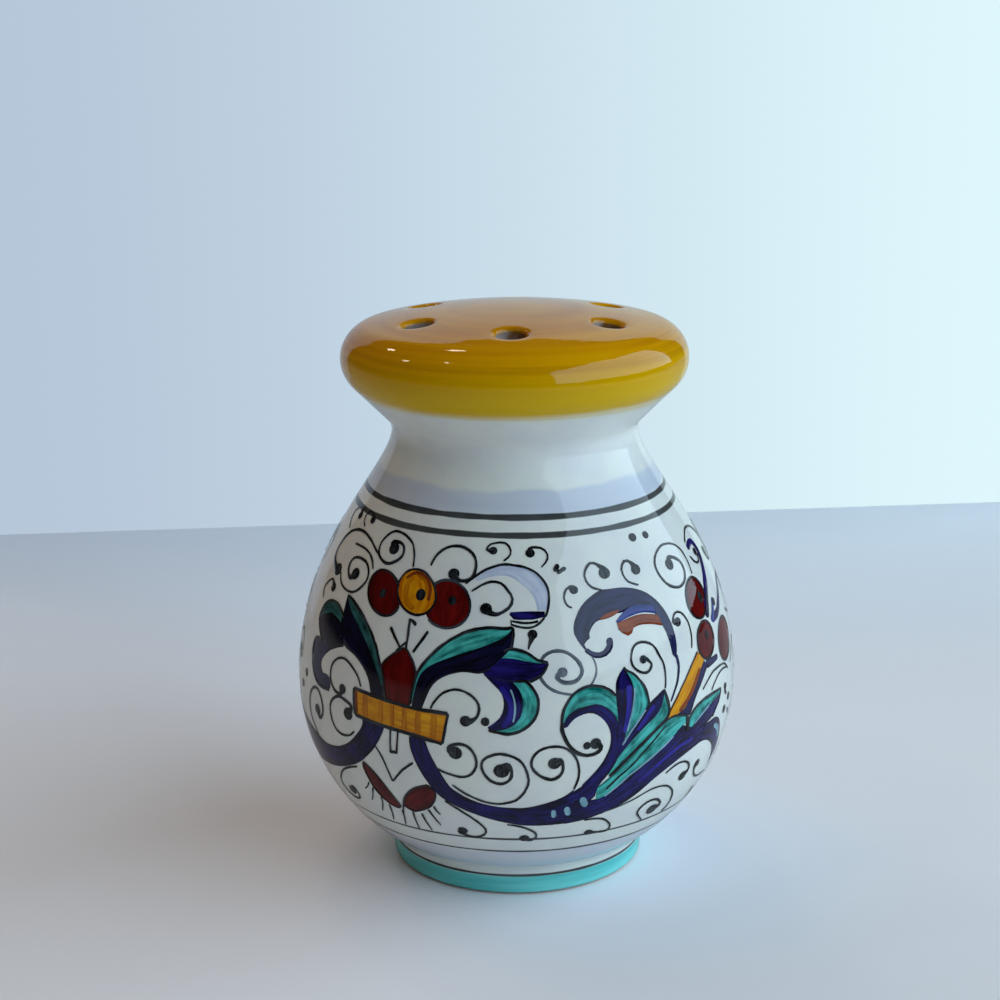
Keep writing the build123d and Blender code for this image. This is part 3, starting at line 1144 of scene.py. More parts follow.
slateLeaf = {
    "dense": tone(18, 18, 46),
    "thin": tone(44, 48, 92),
    "load": 0.6,
    "streaks": 1.0,
    "pooling": 0.3,
    "coat": 0.5,
    "fills": [
        (
            [(19.4, 54.4), (18.2, 55.6), (17.1, 57), (17, 58.2), (17.9, 59.8), (19.9, 61.6), (22.8, 62.9),
             (26.2, 63.8), (29.4, 63.8), (33.3, 63.7), (37.1, 63.2), (40.8, 62.2), (43.7, 60.7),
             (45.8, 58.8), (47.1, 56.7), (47.8, 54.2), (47.6, 51.5), (46.7, 49.7)],
            [(19.8, 54.5), (19.5, 55.5), (21.2, 56.2), (21.2, 57.1), (23, 58.6), (25.6, 59.2),
             (28.9, 59.8), (31.4, 59.6), (34.3, 60.1), (37.7, 60), (42.1, 59.2), (42.5, 57.7),
             (43.7, 56.4), (44.7, 54.7), (45.3, 52.5), (45.5, 50.4), (46.2, 49.8)],
        ),
        (
            [(-58.5, 50), (-62.5, 50), (-64.8, 48.7), (-64.5, 46.4), (-63, 44.1), (-60.5, 42.3),
             (-57.5, 41.8), (-53, 42), (-52.8, 43.5)],
            [(-49, 51), (-52, 50.2), (-55, 49.1), (-57.5, 47.5), (-58.5, 46), (-57, 44.5), (-55, 44.6),
             (-52.9, 44.1)],
        ),
        # shadow side of the ochre stalk
        (
            [(45.3, 39.2), (48.1, 39.8), (50.6, 41.8), (54.9, 45.1), (58, 47.1)],
            [(47.5, 38.1), (50.1, 38.1), (52.7, 40.9), (56.1, 43.4), (59.2, 45.5)],
        ),
    ],
    "strokes": [
        ([(58.5, 46), (62, 46), (66, 46.1)], (1.8, 1.0)),
        ([(19.6, 54.4), (20.8, 53.7), (22.3, 53.2), (24.4, 53.2), (26.2, 54.1), (26.6, 55.1),
          (26.4, 55.8)], (0.8, 1.4)),
        ([(46.8, 50.2), (47.1, 48), (46, 45.4), (44.4, 43.5), (43.1, 42)], (0.8, 0.4)),
    ],
}

# light touches over the dark leaves
paleTouches = {
    "dense": tone(84, 128, 146),
    "thin": tone(158, 192, 206),
    "grain": 1.0,
    "coat": 3,
    "strokes": [
        ([(18.3, 26.3), (19.7, 24.1)], 1.3),
        ([(14.4, 24.5), (15.3, 22.5)], 1.0),
        ([(11.1, 24), (11.4, 22.2)], 0.9),
        ([(0.3, 48.1), (1.1, 46.4), (1.4, 44.3), (0.9, 42.2)], 0.35),
        ([(32.1, 46.3), (31.6, 43.6), (30.7, 41.3), (29.5, 38.6)], 0.35),
        ([(35, 41.9), (32.4, 39.9), (30.1, 38), (28.2, 36)], 0.3),
        ([(44, 35.1), (40.5, 33.5), (35.5, 31.4), (30.9, 29.4), (27.5, 27.4), (24.5, 25.8)], 0.35),
        ([(52, 35.9), (55, 36.9), (59, 38)], 0.4),
        ([(63, 33), (66, 31.6), (68, 29.3)], 0.9),
    ],
}

# blue touches of the curled leaf and the right stem
blueTouches = {
    "dense": tone(28, 36, 96),
    "thin": tone(58, 74, 146),
    "grain": 1.0,
    "coat": 3,
    "fills": [
        (
            [(29.3, 58.3), (31.2, 59.3), (34.3, 60.2), (37.7, 60.3), (42.4, 59.6)],
            [(29.9, 58), (32, 58.5), (35.5, 58.9), (38.9, 58.9), (42.8, 58.2)],
        ),
    ],
    "strokes": [([(66.7, 52.6), (69.2, 54), (71.8, 56.2)], (1.4, 0.8))],
}

# faint scroll under the leaves
greyScroll = {
    "dense": tone(44, 50, 60),
    "thin": tone(124, 132, 142),
    "pooling": 0.1,
    "grain": 1.4,
    "coat": 0.2,
    "scrolls": [
        ([(20, 54.3), (21.7, 52.3), (21.9, 50), (20, 47.9), (16.5, 46.8), (12.5, 47.2), (9, 48.7),
          (7.3, 51), (8.3, 53.5), (11, 54.5), (14.5, 54.2), (17.5, 52.4), (18.2, 50.5), (16.5, 49.1),
          (13.5, 49), (11.8, 50)], (0.28, 0.8), (13.2, 50.8), 0.95),
    ],
}

# berries that get an ink outline, and where each outline starts and how far it sweeps, in degrees
roundBerries = [redBerries["berries"][0], ochreBand["berries"][0], *redBerries["berries"][1:]]
roundArcs = [(25, 310), (110, 360), (224, 266), (110, 360), (110, 360), (110, 360)]

inkLines = {
    "dense": tone(9, 11, 12),
    "thin": tone(84, 92, 100),
    "load": 0.84,
    "streaks": 0.8,
    "pooling": 0.1,
    "grain": 1.6,
    "coat": 5,
    # scrolls: path, width from tail to head, then the head's place and size
    "scrolls": [
        ([(-30.8, 67.2), (-31.9, 69.5), (-34.3, 71.2), (-39, 72.2), (-43.5, 72.1), (-46.7, 70.2),
          (-46.3, 68.3), (-43.5, 67.2), (-40.5, 66.9), (-37.5, 67.7), (-36, 68.8), (-36.8, 70.2),
          (-39, 70.7), (-41.5, 70.4)], (0.36, 0.58), (-40.3, 69.5), 1.2),
        ([(-25, 67.9), (-24, 69.5), (-21.5, 70.9), (-18, 71.5), (-14.5, 71.3), (-11.5, 70.2),
          (-10.4, 68.6), (-11, 66.8), (-13, 66.1), (-15.5, 66.1)], (0.43, 0.58), (-17, 67), 1.1),
        ([(-11, 64.4), (-8.5, 65.4), (-5.5, 66.1), (-2.5, 65.9), (-0.5, 64.7), (0.8, 63.4), (0, 62),
          (-3, 60.9), (-5, 61)], (0.36, 0.58), (-6.5, 61.7), 1.1),
        ([(-2, 69.5), (0, 70.4), (0, 71.5), (-2, 72.4), (-6, 72.2), (-7.5, 71.3)], (0.29, 0.43),
          (-5.4, 71.1), 0.75),
        ([(9.5, 68.4), (11.5, 69.5), (11.8, 70.4), (10.5, 71.3), (8.5, 71.6), (6.5, 71.5)], (0.29, 0.43),
          (6.3, 70.7), 0.85),
        ([(17.3, 61.5), (16, 62), (15.3, 63.4), (16.5, 64.7), (18.2, 64.8)], (0.25, 0.43),
          (18.5, 64.4), 0.8),
        ([(27, 63.8), (24, 64.5), (22.5, 65.9), (22.8, 67.2), (25, 68.4), (27, 68.1),
          (29, 67)], (0.29, 0.5), (29, 66.5), 1.15),
        ([(39.5, 63.5), (36, 64.5), (35, 66.3), (36.5, 67.7), (38.5, 67.7), (40, 66.6)], (0.29, 0.5),
          (40.2, 66.1), 1.05),
        ([(4.8, 55), (5.4, 56.2), (6, 57.3)], (0.36, 0.65), (6, 57.5), 0.9),
        ([(-19.5, 43.7), (-18.5, 45.2), (-16.5, 46.8), (-13.5, 47.7), (-10.5, 47.3), (-8.3, 46.2),
          (-7.3, 44.7), (-7.8, 43.1), (-9.3, 42.2)], (0.36, 0.5), (-10.6, 42.1), 1.05),
        ([(-40.5, 45), (-42, 46.8), (-45, 48.3), (-48, 49), (-51, 48.3), (-52.8, 46.8), (-53, 44.8),
          (-52, 43.3), (-50, 42.3), (-48, 42.3)], (0.36, 0.5), (-47.3, 43.3), 1.0),
        ([(-42.5, 36), (-44.5, 34.8), (-47.5, 34.3), (-50, 34.8), (-51.8, 36.4), (-52.5, 38.7),
          (-51.5, 40.4), (-49, 41.6), (-46, 41.4), (-43.5, 40.6)], (0.36, 0.58), (-44.8, 39), 1.25),
        ([(-61, 31), (-63.5, 32.9), (-65, 34.8), (-65, 37.2), (-64, 39.1), (-62, 40.4), (-59.5, 40.8),
          (-57.3, 39.5), (-56.3, 37.5), (-57, 36), (-58.5, 35.2)], (0.36, 0.58), (-59.5, 36.6), 1.1),
        ([(-45.5, 67.7), (-49, 68.8), (-53, 69.8), (-58, 70.4), (-63, 70.2), (-67, 69.3), (-69.5, 67.9),
          (-70.8, 66.1), (-70, 64.3), (-66, 63)], (0.36, 0.79), (-63.5, 62.8), 1.3),
        ([(-61.3, 62.7), (-59, 61.3), (-56, 60.6), (-52.5, 60.4), (-49.5, 61.1), (-47.3, 62.7),
          (-46.8, 63.8), (-48, 65.2), (-50.5, 66.1), (-54, 66.3), (-57, 65.9), (-58, 64.7), (-57, 63.4),
          (-55, 62.7)], (0.36, 0.58), (-53, 63.6), 1.2),
        ([(-59.5, 71.2), (-62, 72), (-62.5, 73.1), (-60.5, 73.7), (-57, 73.3)], (0.29, 0.43),
          (-56.6, 72.7), 0.8),
        ([(-70, 69.5), (-73.5, 71.1), (-73.5, 72.5), (-70, 73.5), (-67, 72.9)], (0.29, 0.43),
          (-66.7, 72.3), 0.8),
        ([(-66.5, 57), (-68, 58.8), (-65, 60.8), (-62.6, 60.2)], (0.29, 0.43), (-62, 59.7), 0.9),
        ([(-18, 32.3), (-15.5, 31.6), (-12, 31.1), (-9.5, 31.8), (-8.1, 33.7), (-8.3, 35.6), (-9.8, 37.2),
          (-12, 37.7), (-14, 37.3), (-14.6, 36.4)], (0.36, 0.58), (-13.2, 35.9), 1.3),
        ([(-14.5, 29.3), (-11, 27.5), (-7, 26.2), (-3.5, 25.7), (0.5, 26.2), (2.5, 27.3), (4, 29),
          (4.6, 31), (3.3, 34.1), (1, 35.6), (-2.5, 36.2), (-5.5, 35.4), (-6.8, 34.1), (-6.3, 32.2),
          (-4.5, 30.6), (-2, 30.1), (0, 31), (0.5, 32.5), (-0.5, 33.9)], (0.36, 0.58), (-2, 32.8), 1.45),
        ([(16, 28.3), (16.8, 30.2), (17, 32.2), (16.3, 34.5), (14.5, 36.4), (12, 37.3), (9, 37.3),
          (6.5, 36.4), (5.3, 34.8), (5.5, 33.3), (7.5, 31.6), (10.3, 30.8), (12.3, 31.6), (13, 33.1),
          (12.3, 34.5)], (0.36, 0.58), (10.8, 34.1), 1.2),
        ([(-17, 25.5), (-14, 24), (-10.5, 22.2), (-8, 20.5), (-6.9, 19), (-8, 17.7), (-10.5, 17.1),
          (-13, 17.5), (-14.6, 18)], (0.36, 0.5), (-13.6, 18.6), 0.95),
        ([(-1, 20.8), (2, 20.4), (4.5, 19.7), (6.8, 18.5), (7, 17.3), (5.5, 16.6)], (0.36, 0.5),
          (3.7, 17.2), 0.95),
        ([(20, 20.8), (23.5, 20.7), (26, 20.2), (28, 19), (29, 18), (28.3, 16.8)], (0.36, 0.43),
          (22.4, 17.3), 0.8),
        ([(40.5, 17.3), (38.3, 18.7), (37.1, 20), (38.3, 21.3), (40.5, 21.9), (43, 21.7), (45, 20.7),
          (45.6, 19.8)], (0.36, 0.58), (43, 19.3), 1.35),
        ([(43.3, 27.5), (45.5, 28.3), (48, 28.7), (50.5, 28.4), (52.5, 27.5), (53.4, 26.3),
          (52.5, 25.5)], (0.36, 0.5), (51.2, 25.1), 1.1),
        ([(67, 22.2), (62.5, 22.3), (59.5, 23), (57.5, 24.2), (56.8, 25.7)], (0.29, 0.58),
          (57.5, 26.3), 0.9),
        ([(-43.5, 28.5), (-48, 27.2), (-51, 26), (-53.5, 24.3), (-55.3, 22.7), (-55.3, 21.2), (-53.5, 20),
          (-51, 19.7), (-48.5, 20.2), (-47.8, 21.3), (-49, 22.5)], (0.36, 0.5), (-50.4, 21.6), 1.05),
        ([(41.5, 44.8), (42, 47), (41.8, 49.3), (40.8, 51.1), (39.5, 52.9), (37.5, 53.8), (35, 54.1),
          (33, 53.4), (32, 51.5), (32.3, 50.2), (34, 49), (36.5, 48.6), (38, 49.7),
          (36.8, 50.8)], (0.36, 0.5), (35.6, 51), 0.8),
        ([(64.5, 62), (65, 64.3), (64.3, 66.3), (62, 67.7), (58.5, 68.4), (54.5, 68.5), (50.5, 67.5),
          (48.3, 65.9), (48.8, 63.8), (51, 62), (55, 61.1), (58.5, 61.5), (60.8, 62.9), (60.8, 64.7),
          (58.5, 65.9), (56, 66.2)], (0.29, 0.58), (54.8, 65.2), 1.15),
        ([(53.3, 50.2), (54.3, 52.5), (54.3, 54.7), (53, 56.5), (51, 57.3), (49.3, 57),
          (48.3, 55.8)], (0.29, 0.43), (50, 55.6), 0.9),
        ([(68, 64.7), (69.5, 63.4), (72.5, 62.9), (74, 64)], (0.43, 0.58), (73.3, 64.7), 0.8),
        ([(12.7, 41.8), (12.6, 40.6), (13.2, 39), (14.4, 37.3), (16.1, 35.9), (18.6, 35.1), (21.2, 35.3),
          (22.4, 36.3)], (0.7, 0.6), (21, 37.2), 1.1),
        # scrolls between the two halves of the ornament
        ([(76, 42.5), (80, 44.5), (85, 45.5), (90, 44.5), (92.5, 42), (91.5, 39.5), (88.5, 38.5),
          (86, 39.5), (85.8, 41.3)], (0.36, 0.58), (87.4, 41.9), 1.2),
        ([(82, 52), (86, 50.5), (91, 50.5), (95, 52.5), (96, 55.5), (94, 57.5), (91, 57),
          (90, 55.2)], (0.36, 0.58), (91.8, 54.5), 1.2),
        ([(78, 31), (82, 34), (87, 34.8), (91.5, 33), (93, 30), (91, 27.8), (88, 28),
          (86.8, 30)], (0.36, 0.58), (88.6, 30.8), 1.2),
        ([(72, 20.5), (77, 23), (82, 24), (87, 22.8), (89.5, 20.3), (88, 18), (85, 18)], (0.36, 0.58),
          (85.2, 19.6), 1.1),
        ([(69, 67), (73, 68.4), (77, 68.8), (82, 68.2), (87, 66.2), (89, 63.6), (87.5, 61.5),
          (84.5, 61.4)], (0.36, 0.58), (84, 63), 1.1),
        ([(95, 60.5), (98, 62.8), (98, 65.8), (94.5, 67.8), (91.5, 67)], (0.29, 0.5), (91.8, 65.6), 1.0),
        ([(96.5, 33), (99.5, 36.5), (99.5, 40.5), (97, 43), (94.6, 41.6)], (0.29, 0.5), (95.6, 40), 1.0),
        ([(97.5, 47), (101, 48.6), (104.5, 47.6), (105.4, 44.8), (103, 43)], (0.29, 0.5),
          (101.8, 44.8), 1.0),
    ],
    "rounds": [(*berry, *arc) for berry, arc in zip(roundBerries, roundArcs)],
    "berries": [
        ((-39, 62), 0.75, 0.85), ((-26.1, 63), 1.0, 1.1), ((-16.2, 62.7), 0.8, 0.8), ((64, 57.8), 0.85, 1.1),
        ((61.9, 51), 0.7, 0.9), ((-5.8, 42.2), 0.8, 0.8), ((43.5, 71.2), 0.9, 0.8), ((49.6, 71), 0.75, 0.7),
        ((71.8, 55.4), 0.8, 0.8), ((69.8, 34.5), 0.85, 0.8), ((73.5, 36.2), 0.85, 0.8),
        ((70, 39.1), 0.8, 0.7), ((-68, 42), 0.8, 0.8), ((-71.5, 39), 0.8, 0.8), ((18.8, 37), 0.7, 0.7),
    ],
    "strokes": [
        # stamens, stubs and hairs of the left flower
        ([(-29.4, 53.6), (-31.7, 55.4), (-33.5, 56.8)], (0.4, 0.6)),
        ([(-27.7, 53.6), (-27.7, 56.4), (-27.9, 58.7)], (0.4, 0.6)),
        ([(-28.3, 58.7), (-27.2, 58.6), (-25.7, 57.9)], (0.35, 0.7)),
        ([(-25.5, 53.2), (-23.4, 55.6), (-21.9, 57.2)], (0.4, 0.6)),
        ([(-30.6, 52.8), (-29.2, 53.9), (-27.6, 54.9)], 0.35),
        ([(-30.5, 38.7), (-30.7, 36.4), (-30.8, 34.1)], 0.43),
        ([(-28.3, 38.7), (-28.6, 36.5), (-29, 34.3)], 0.43),
        ([(-31.2, 34), (-28.7, 34.2)], 0.5),
        ([(-35.5, 34.3), (-33.5, 32.2), (-31.5, 27.7)], 0.36),
        ([(-24.5, 32.7), (-28, 30.6), (-31.3, 27.8)], 0.36),
        ([(-40.3, 25.8), (-41.5, 24.6), (-43, 23.8)], (0.43, 0.25)),
        ([(-39.5, 24.7), (-40.6, 22.8), (-42, 21.3)], (0.43, 0.25)),
        ([(-37.3, 23.2), (-38, 21.2), (-39.5, 19.3)], (0.43, 0.25)),
        ([(-35.3, 21.8), (-35.5, 19.8), (-36.5, 17.7)], (0.43, 0.25)),
        ([(-31, 21.3), (-31.5, 19.3), (-32.3, 17.3)], (0.43, 0.25)),
        ([(-27.5, 21.5), (-27.7, 19.2), (-27.8, 16.9)], (0.43, 0.25)),
        ([(-24.8, 21.5), (-24.2, 19.4), (-23.3, 17.3)], (0.43, 0.25)),
        ([(-22.3, 22.8), (-21.2, 21), (-19.8, 19.2)], (0.43, 0.25)),
        ([(-20.5, 23.8), (-20, 22.8), (-19, 22)], (0.43, 0.25)),
        # outlines of the flower's bulb and petals
        ([(-28.3, 53.8), (-31, 52.5), (-34.2, 50.3), (-33.8, 48.5), (-32.9, 46), (-32, 43.4)], 0.32),
        ([(-28.1, 53.8), (-27, 53.3), (-25, 51.5), (-24, 49.5), (-24.6, 46), (-25.3, 43.3)], 0.32),
        ([(-40.5, 30.2), (-41, 29), (-40, 26.7), (-38.5, 24.3), (-35.5, 22.3), (-32.5, 21.5),
          (-31, 22.2)], 0.32),
        ([(-40.5, 30.2), (-37.5, 28.7), (-35, 26.7), (-32.5, 24), (-31, 22.2)], 0.29),
        ([(-31, 20.6), (-30, 22.7), (-28.5, 25), (-25, 27.3), (-21, 28.4)], 0.36),
        ([(-21, 28.4), (-19.3, 27), (-20, 25), (-22.5, 23), (-27, 21.7), (-29.8, 22.5)], 0.29),
        # ochre band
        ([(-42.9, 44.4), (-35, 44), (-25, 43.4), (-15, 43.2)], 0.6),
        ([(-42.1, 39.4), (-33.5, 38.9), (-25, 38.4), (-16.4, 37.4)], 0.65),
        ([(-42.9, 44.4), (-42.6, 42), (-42.1, 39.4)], 0.65),
        ([(-15, 43.2), (-15.7, 40.3), (-16.4, 37.4)], 0.54),
        # leaves of the left flower
        ([(-25, 44), (-24.7, 46), (-23.5, 50), (-21, 52.6), (-18, 54.8), (-15, 56.4), (-11, 57.8),
          (-6, 58.6), (-1, 58.5), (0.9, 58.7)], 0.54),
        ([(0.9, 58.7), (1, 57), (0.4, 55.2)], 0.49),
        ([(-1.5, 54.7), (0.5, 55.1), (4, 54.6), (7, 53.2), (9.7, 52.6)], 0.49),
        ([(9.7, 52.6), (8, 50.5), (5, 49.4)], 0.43),
        ([(1.5, 49.6), (4, 49.5), (6.4, 47.5), (7, 45.2), (6.1, 42.8), (3.5, 40.9), (0, 40), (-3, 40.3),
          (-5, 40.7)], 0.49),
        ([(-33.2, 44.2), (-33.3, 47.5), (-34.8, 49.8), (-36.5, 52.3), (-39, 54.6), (-42, 56.4),
          (-45, 57.8), (-49, 59.1), (-53, 59.8)], 0.54),
        ([(-51.5, 55.9), (-55, 57.3), (-58.5, 57.7), (-61.5, 57.3), (-64, 56), (-65.1, 53.6)], 0.49),
        ([(-65.1, 53.6), (-62.5, 51.4), (-59.5, 50)], 0.49),
        ([(-60, 50.1), (-63.5, 50), (-64.9, 48.7), (-64.6, 46.4), (-63.1, 44), (-60.5, 42.2),
          (-57.5, 41.7), (-53, 41.9)], 0.49),
        ([(-60, 68.1), (-55, 68.1), (-51, 67.7), (-48, 66.8), (-46, 65.3)], 0.39),
        # round eye on the shoulder
        ([(-13, 65.6), (-10.5, 66.8), (-7, 68.1), (-2.5, 68.9), (0, 68.9), (5, 68.4), (8.5, 67.2),
          (10.5, 65.6), (11.1, 63.8), (10.5, 61.5), (9.5, 60.3)], 0.4),
        ([(9.5, 60.3), (7.6, 59.1), (4.9, 58.6), (1.8, 58.9), (0.1, 59.4), (0.4, 59.8), (2.7, 59.5),
          (5.4, 59.4), (7.6, 59.7)], 0.35),
        # leaves on the right
        ([(12.6, 41.6), (12.8, 43.2), (13.7, 44.9), (15.4, 46.6), (17.7, 47.6), (20.3, 48), (22.9, 47.6),
          (25, 46.8), (26.6, 45.6)], 0.49),
        ([(29.6, 50.4), (30.1, 49.8), (32.3, 48.7), (34.6, 46.7), (35.8, 44.4), (36.1, 42.3)], 0.43),
        ([(41, 44.7), (41.8, 43), (42.4, 41), (41.9, 39.4), (39, 38), (35.9, 36.5), (32.6, 34.8),
          (29, 32.7), (25.2, 30.1)], 0.61),
        ([(39, 37.9), (42.4, 38.9), (45.3, 39), (48.4, 38.4)], 0.43),
        ([(48.8, 38.6), (49.2, 36.8), (49.2, 34.9)], 0.9),
        ([(41.2, 37.8), (38.1, 35.9), (34.2, 33.5), (30.6, 31.1), (27.5, 29.4), (24.7, 27.4)], (0.25, 0.4)),
        ([(49.6, 36), (50.1, 37.6), (52.6, 39), (56.4, 39.8), (60.9, 39.9), (66.4, 39.6)], 0.43),
        ([(66.4, 39.5), (65.1, 37.5), (62.6, 36.1), (61.3, 35.1)], 0.43),
        ([(42, 39.8), (46.5, 43.4), (51.5, 46.9), (55.5, 49.2)], 0.29),
        # fine lines on the right
        ([(25, 22), (30, 22.8), (35, 23.8), (37.5, 24.5), (41, 24.9), (44.5, 24.5), (47.5, 23.3),
          (49.5, 21.7), (50.6, 19.8), (50.2, 18.3), (49, 17.3)], (0.25, 0.43)),
        ([(56, 41.8), (61, 43.7), (65, 44.1), (70, 43.7), (73, 42)], (0.29, 0.36)),
        ([(60.5, 40.6), (64, 42.3), (68, 43), (72, 42.5)], (0.29, 0.36)),
        ([(13.4, 67.6), (14.8, 68.7)], 0.9),
        ([(14.2, 67.3), (17, 68.1)], 0.7),
        ([(63.5, 19.6), (63.3, 18.2), (63.1, 17)], (0.9, 0.6)),
        ([(69.4, 38.6), (71, 37.4)], 0.7),
        ([(73.6, 33.8), (75, 32.4)], 0.7),
    ],
}

paintPiece("painted_wash", "paleBlueWash", paleWash)
paintPiece("painted_faint_scroll", "greyPaint", greyScroll)
paintPiece("painted_slate_leaves", "slatePaint", slateLeaf)
paintPiece("painted_teal_leaves", "tealPaint", tealLeaves)
paintPiece("painted_navy_leaves", "navyPaint", navyLeaves)
paintPiece("painted_dark_teal", "darkTealPaint", darkTeal)
paintPiece("painted_dark_leaves", "darkPaint", darkLeaves)
paintPiece("painted_royal_touches", "royalPaint", royalTouches)
paintPiece("painted_blue_touches", "bluePaint", blueTouches)
paintPiece("painted_pale_touches", "palePaint", paleTouches)
paintPiece("painted_red_berries", "redPaint", redBerries)
paintPiece("painted_ochre_band", "ochrePaint", ochreBand)
paintPiece("painted_ochre_stripes", "stripePaint", ochreStripes)
paintPiece("painted_rust_touches", "rustPaint", rustTouches)
paintPiece("painted_ink_lines", "inkPaint", inkLines)
print("decoration painted")


# Stopper in the base: soft, slightly dusty off-white rubber
stopper = {
    "colour": tone(214, 208, 194),
    "dirt": tone(172, 163, 146),
}


def makeStopperMaterial():
    material, tree, shader = newMaterial("stopperRubber")
    spot = addNode(tree, "TexCoord").outputs["Object"]
    cloud = noiseOf(tree, spot, 160.0, 3.0, 0.6)
    grain = noiseOf(tree, spot, 2600.0, 2.0)
    colour = mixOf(tree, rangeOf(tree, cloud, 0.4, 0.75), stopper["colour"], stopper["dirt"])
    feed(tree, shader.inputs["Base Color"], colour)
    feed(tree, shader.inputs["Roughness"], rangeOf(tree, grain, 0.2, 0.8, 0.48, 0.66))
    relief = addNode(tree, "Bump", {"Height": grain, "Strength": 0.25, "Distance": 0.0002})
    feed(tree, shader.inputs["Normal"], relief.outputs[0])
    return material


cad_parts["base_stopper"].data.materials.clear()
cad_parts["base_stopper"].data.materials.append(makeStopperMaterial())
print("stopper finished")


# Floor, and a pale board that stands behind the pot, turned a little to the camera
studio = {
    "floor": tone(245, 246, 250),
    "floorMirrored": tone(196, 194, 194),
    "floorFar": tone(200, 212, 224),
    "floorLevel": -0.0003,  # just under the foot, so that the two faces never share a plane
    # painted light: the board's colour runs from shaded on the left to window-lit on the right
    "boardLeftShade": tone(183, 199, 218),
    "boardRightLit": tone(224, 249, 254),
    "boardMirrored": 0.75,
    "boardBack": 0.253,
    "boardTurn": 7.6,
    "boardMiddle": -0.02,
    "boardHalfWidth": 0.22,
    "boardHeight": 0.27,
    "boardLightBlend": (-0.17, 0.19),
    "floorReach": 5.0,
    "floorShade": 0.97,
    "floorFade": (0.32, 0.65),
    "sky": tone(208, 186, 168),
    "skyStrength": 0.15,
    "skyMirrored": 0.05,
    "skySeen": tone(214, 224, 234),
}


def paperMaterial(name):
    material, tree, shader = newMaterial(name)
    spot = addNode(tree, "TexCoord").outputs["Object"]
    paper = noiseOf(tree, spot, 900.0, 3.0)
    feed(tree, shader.inputs["Roughness"], rangeOf(tree, paper, 0.2, 0.8, 0.6, 0.75))
    relief = addNode(tree, "Bump", {"Height": paper, "Strength": 0.1, "Distance": 0.0002})
    feed(tree, shader.inputs["Normal"], relief.outputs[0])
    return material, tree, shader, spot


def stagePiece(name, sheet, material):
    mesh = bpy.data.meshes.new(name)
    sheet.to_mesh(mesh)
    sheet.free()
    mesh.materials.append(material)
    piece = bpy.data.objects.new(name, mesh)
    bpy.context.scene.collection.objects.link(piece)


def clearFromBehind(tree, front):
    # the camera sees through a sheet that it stands behind
    path = addNode(tree, "LightPath").outputs
    turned = addNode(tree, "NewGeometry").outputs["Backfacing"]
    behind = sumOf(tree, "MULTIPLY", turned, path["Is Camera Ray"])
    clear = addNode(tree, "BsdfTransparent")
    whole = addNode(tree, "MixShader", {0: behind, 1: front, 2: clear.outputs[0]})
    output = next(node for node in tree.nodes if node.type == "OUTPUT_MATERIAL")
    feed(tree, output.inputs["Surface"], whole.outputs[0])


def makeFloor():
    sheet = bmesh.new()
    bmesh.ops.create_grid(sheet, x_segments=1, y_segments=1, size=studio["floorReach"])
    bmesh.ops.translate(sheet, vec=(0, 0, studio["floorLevel"]), verts=sheet.verts)
    material, tree, shader, spot = paperMaterial("floorPaper")
    mottle = noiseOf(tree, spot, 6.0, 2.0)
    shade = [value * studio["floorShade"] for value in studio["floor"][:3]] + [1.0]
    path = addNode(tree, "LightPath").outputs
    colour = mixOf(tree, mottle, studio["floor"], shade)
    colour = mixOf(tree, path["Is Glossy Ray"], colour, studio["floorMirrored"])
    feed(tree, shader.inputs["Base Color"], colour)

    # beyond the lamps the camera sees the floor in a plain pale colour
    reach = addNode(tree, "VectorMath", {0: spot}, operation="LENGTH").outputs["Value"]
    far = sumOf(tree, "MULTIPLY", rangeOf(tree, reach, *studio["floorFade"]), path["Is Camera Ray"])
    plain = addNode(tree, "Emission", {"Color": studio["floorFar"]})
    front = addNode(tree, "MixShader", {0: far, 1: shader.outputs[0], 2: plain.outputs[0]})
    clearFromBehind(tree, front.outputs[0])
    stagePiece("floor", sheet, material)


def makeBoard():
    sheet = bmesh.new()
    left = sheet.verts.new((studio["boardMiddle"] + studio["boardHalfWidth"], 0, studio["floorLevel"]))
    right = bmesh.ops.extrude_vert_indiv(sheet, verts=[left])["verts"][0]
    right.co.x = studio["boardMiddle"] - studio["boardHalfWidth"]
    made = bmesh.ops.extrude_edge_only(sheet, edges=sheet.edges[:])["geom"]
    top = [item for item in made if isinstance(item, bmesh.types.BMVert)]
    bmesh.ops.translate(sheet, vec=(0, 0, studio["boardHeight"]), verts=top)
    turn = Matrix.Rotation(radians(studio["boardTurn"]), 3, "Z")
    bmesh.ops.rotate(sheet, cent=(0, 0, 0), matrix=turn, verts=sheet.verts)
    bmesh.ops.translate(sheet, vec=(0, studio["boardBack"], 0), verts=sheet.verts)
    for face in sheet.faces:
        face.normal_update()
    bmesh.ops.reverse_faces(sheet, faces=[face for face in sheet.faces if face.normal.y > 0])

    # seen by the camera and in reflections the board glows in its colour: painted light, darker on the left
    # and brighter on the right as if the window lit it, and its glow gives the glaze its sheen
    material, tree, shader, spot = paperMaterial("boardPaper")
    across = addNode(tree, "SeparateXYZ", {0: spot}).outputs[0]
    boardLight = rangeOf(tree, across, *studio["boardLightBlend"])
    colour = mixOf(tree, boardLight, studio["boardLeftShade"], studio["boardRightLit"])
    feed(tree, shader.inputs["Base Color"], colour)
    path = addNode(tree, "LightPath").outputs
    seen = sumOf(tree, "MAXIMUM", path["Is Camera Ray"], path["Is Glossy Ray"])
    strength = rangeOf(tree, path["Is Camera Ray"], 0.0, 1.0, studio["boardMirrored"], 1.0)
    plain = addNode(tree, "Emission", {"Color": colour, "Strength": strength})
    front = addNode(tree, "MixShader", {0: seen, 1: shader.outputs[0], 2: plain.outputs[0]})
    clearFromBehind(tree, front.outputs[0])
    stagePiece("backdrop", sheet, material)


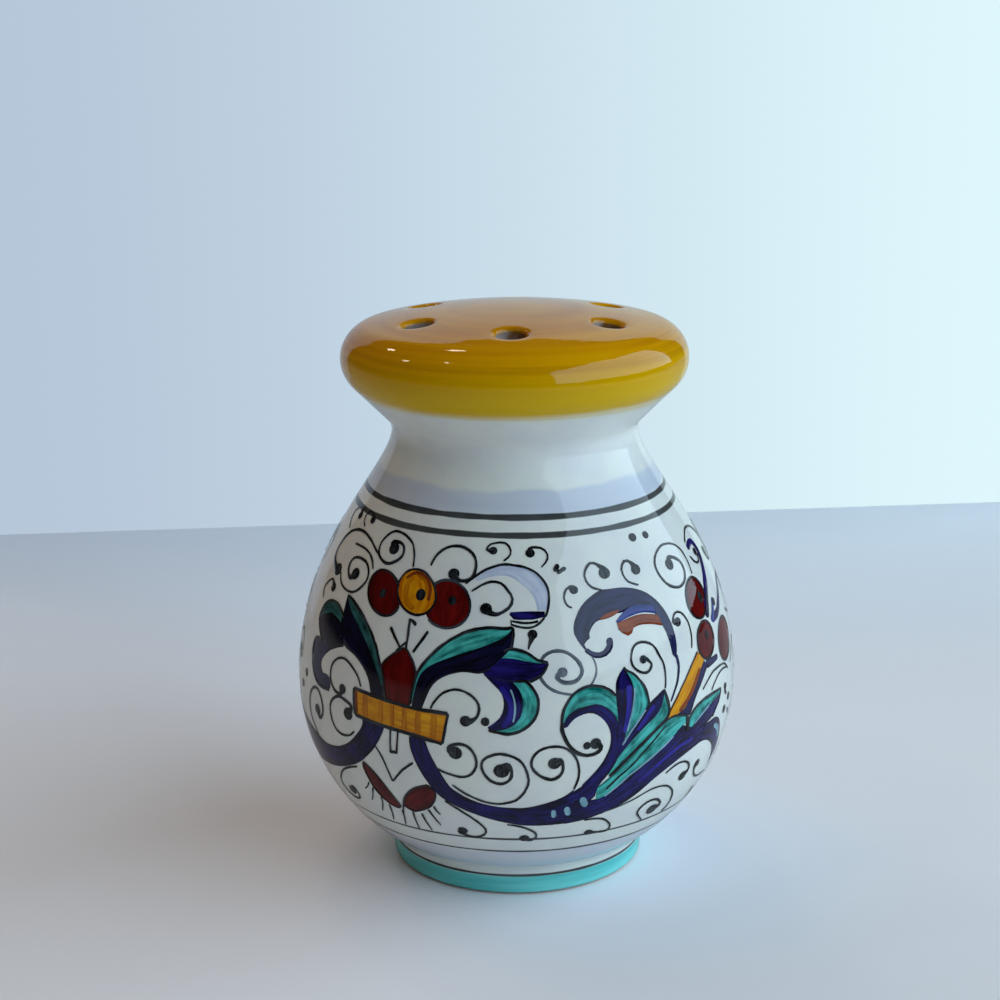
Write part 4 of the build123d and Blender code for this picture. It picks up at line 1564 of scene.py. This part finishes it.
# The window's light comes from one place in two shares, and only the first shows in the glaze
window = {
    "spot": (1.067, -0.266, 0.76),
    "aim": (0, 0, 0.76),
    "size": (2.44, 1.18),
    "colour": (0.64, 0.84, 1.0),
}
lamps = {
    "window": {**window, "power": 23.0, "mirrored": True},
    "daylight": {**window, "power": 11.0, "mirrored": False},
    "fill": {
        "spot": (-0.45, 0.45, 1.1),
        "aim": (0, 0, 0.05),
        "size": (1.0, 1.0),
        "power": 2.8,
        "colour": (1.0, 0.74, 0.56),
        "mirrored": False,
    },
}
roomSpots = [(-0.724, 0.545, 0.9), (-0.273, 0.613, 1.1), (-0.933, 0, 0.86), (-0.602, -0.256, 1.11)]
for number, spot in enumerate(roomSpots):
    lamps["room" + str(number)] = {
        "spot": spot,
        "aim": (0, 0, 0.1),
        "size": (0.08, 0.08),
        "power": 0.3,
        "colour": (1.0, 0.86, 0.68),
        "mirrored": True,
    }


def makeLamps():
    for name, lamp in lamps.items():
        data = bpy.data.lights.new(name, "AREA")
        data.shape = "RECTANGLE"
        data.size, data.size_y = lamp["size"]
        data.energy = lamp["power"]
        data.color = lamp["colour"]
        body = bpy.data.objects.new(name, data)
        bpy.context.scene.collection.objects.link(body)
        spot = Vector(lamp["spot"])
        aim = Vector(lamp["aim"]) - spot
        body.matrix_world = Matrix.Translation(spot) @ aim.to_track_quat("-Z", "Y").to_matrix().to_4x4()
        body.visible_glossy = lamp["mirrored"]
    world = bpy.data.worlds.new("studio")
    bpy.context.scene.world = world
    world.use_nodes = True
    tree = world.node_tree
    path = addNode(tree, "LightPath").outputs
    light = tree.nodes["Background"]
    light.inputs["Color"].default_value = studio["sky"]
    strength = rangeOf(tree, path["Is Glossy Ray"], 0.0, 1.0, studio["skyStrength"], studio["skyMirrored"])
    feed(tree, light.inputs["Strength"], strength)
    seen = addNode(tree, "Background", {"Color": studio["skySeen"]})
    both = addNode(tree, "MixShader", {0: path["Is Camera Ray"], 1: light.outputs[0], 2: seen.outputs[0]})
    feed(tree, tree.nodes["World Output"].inputs["Surface"], both.outputs[0])


makeFloor()
makeBoard()
makeLamps()
bpy.context.scene.view_settings.view_transform = "Standard"
print("studio lit")
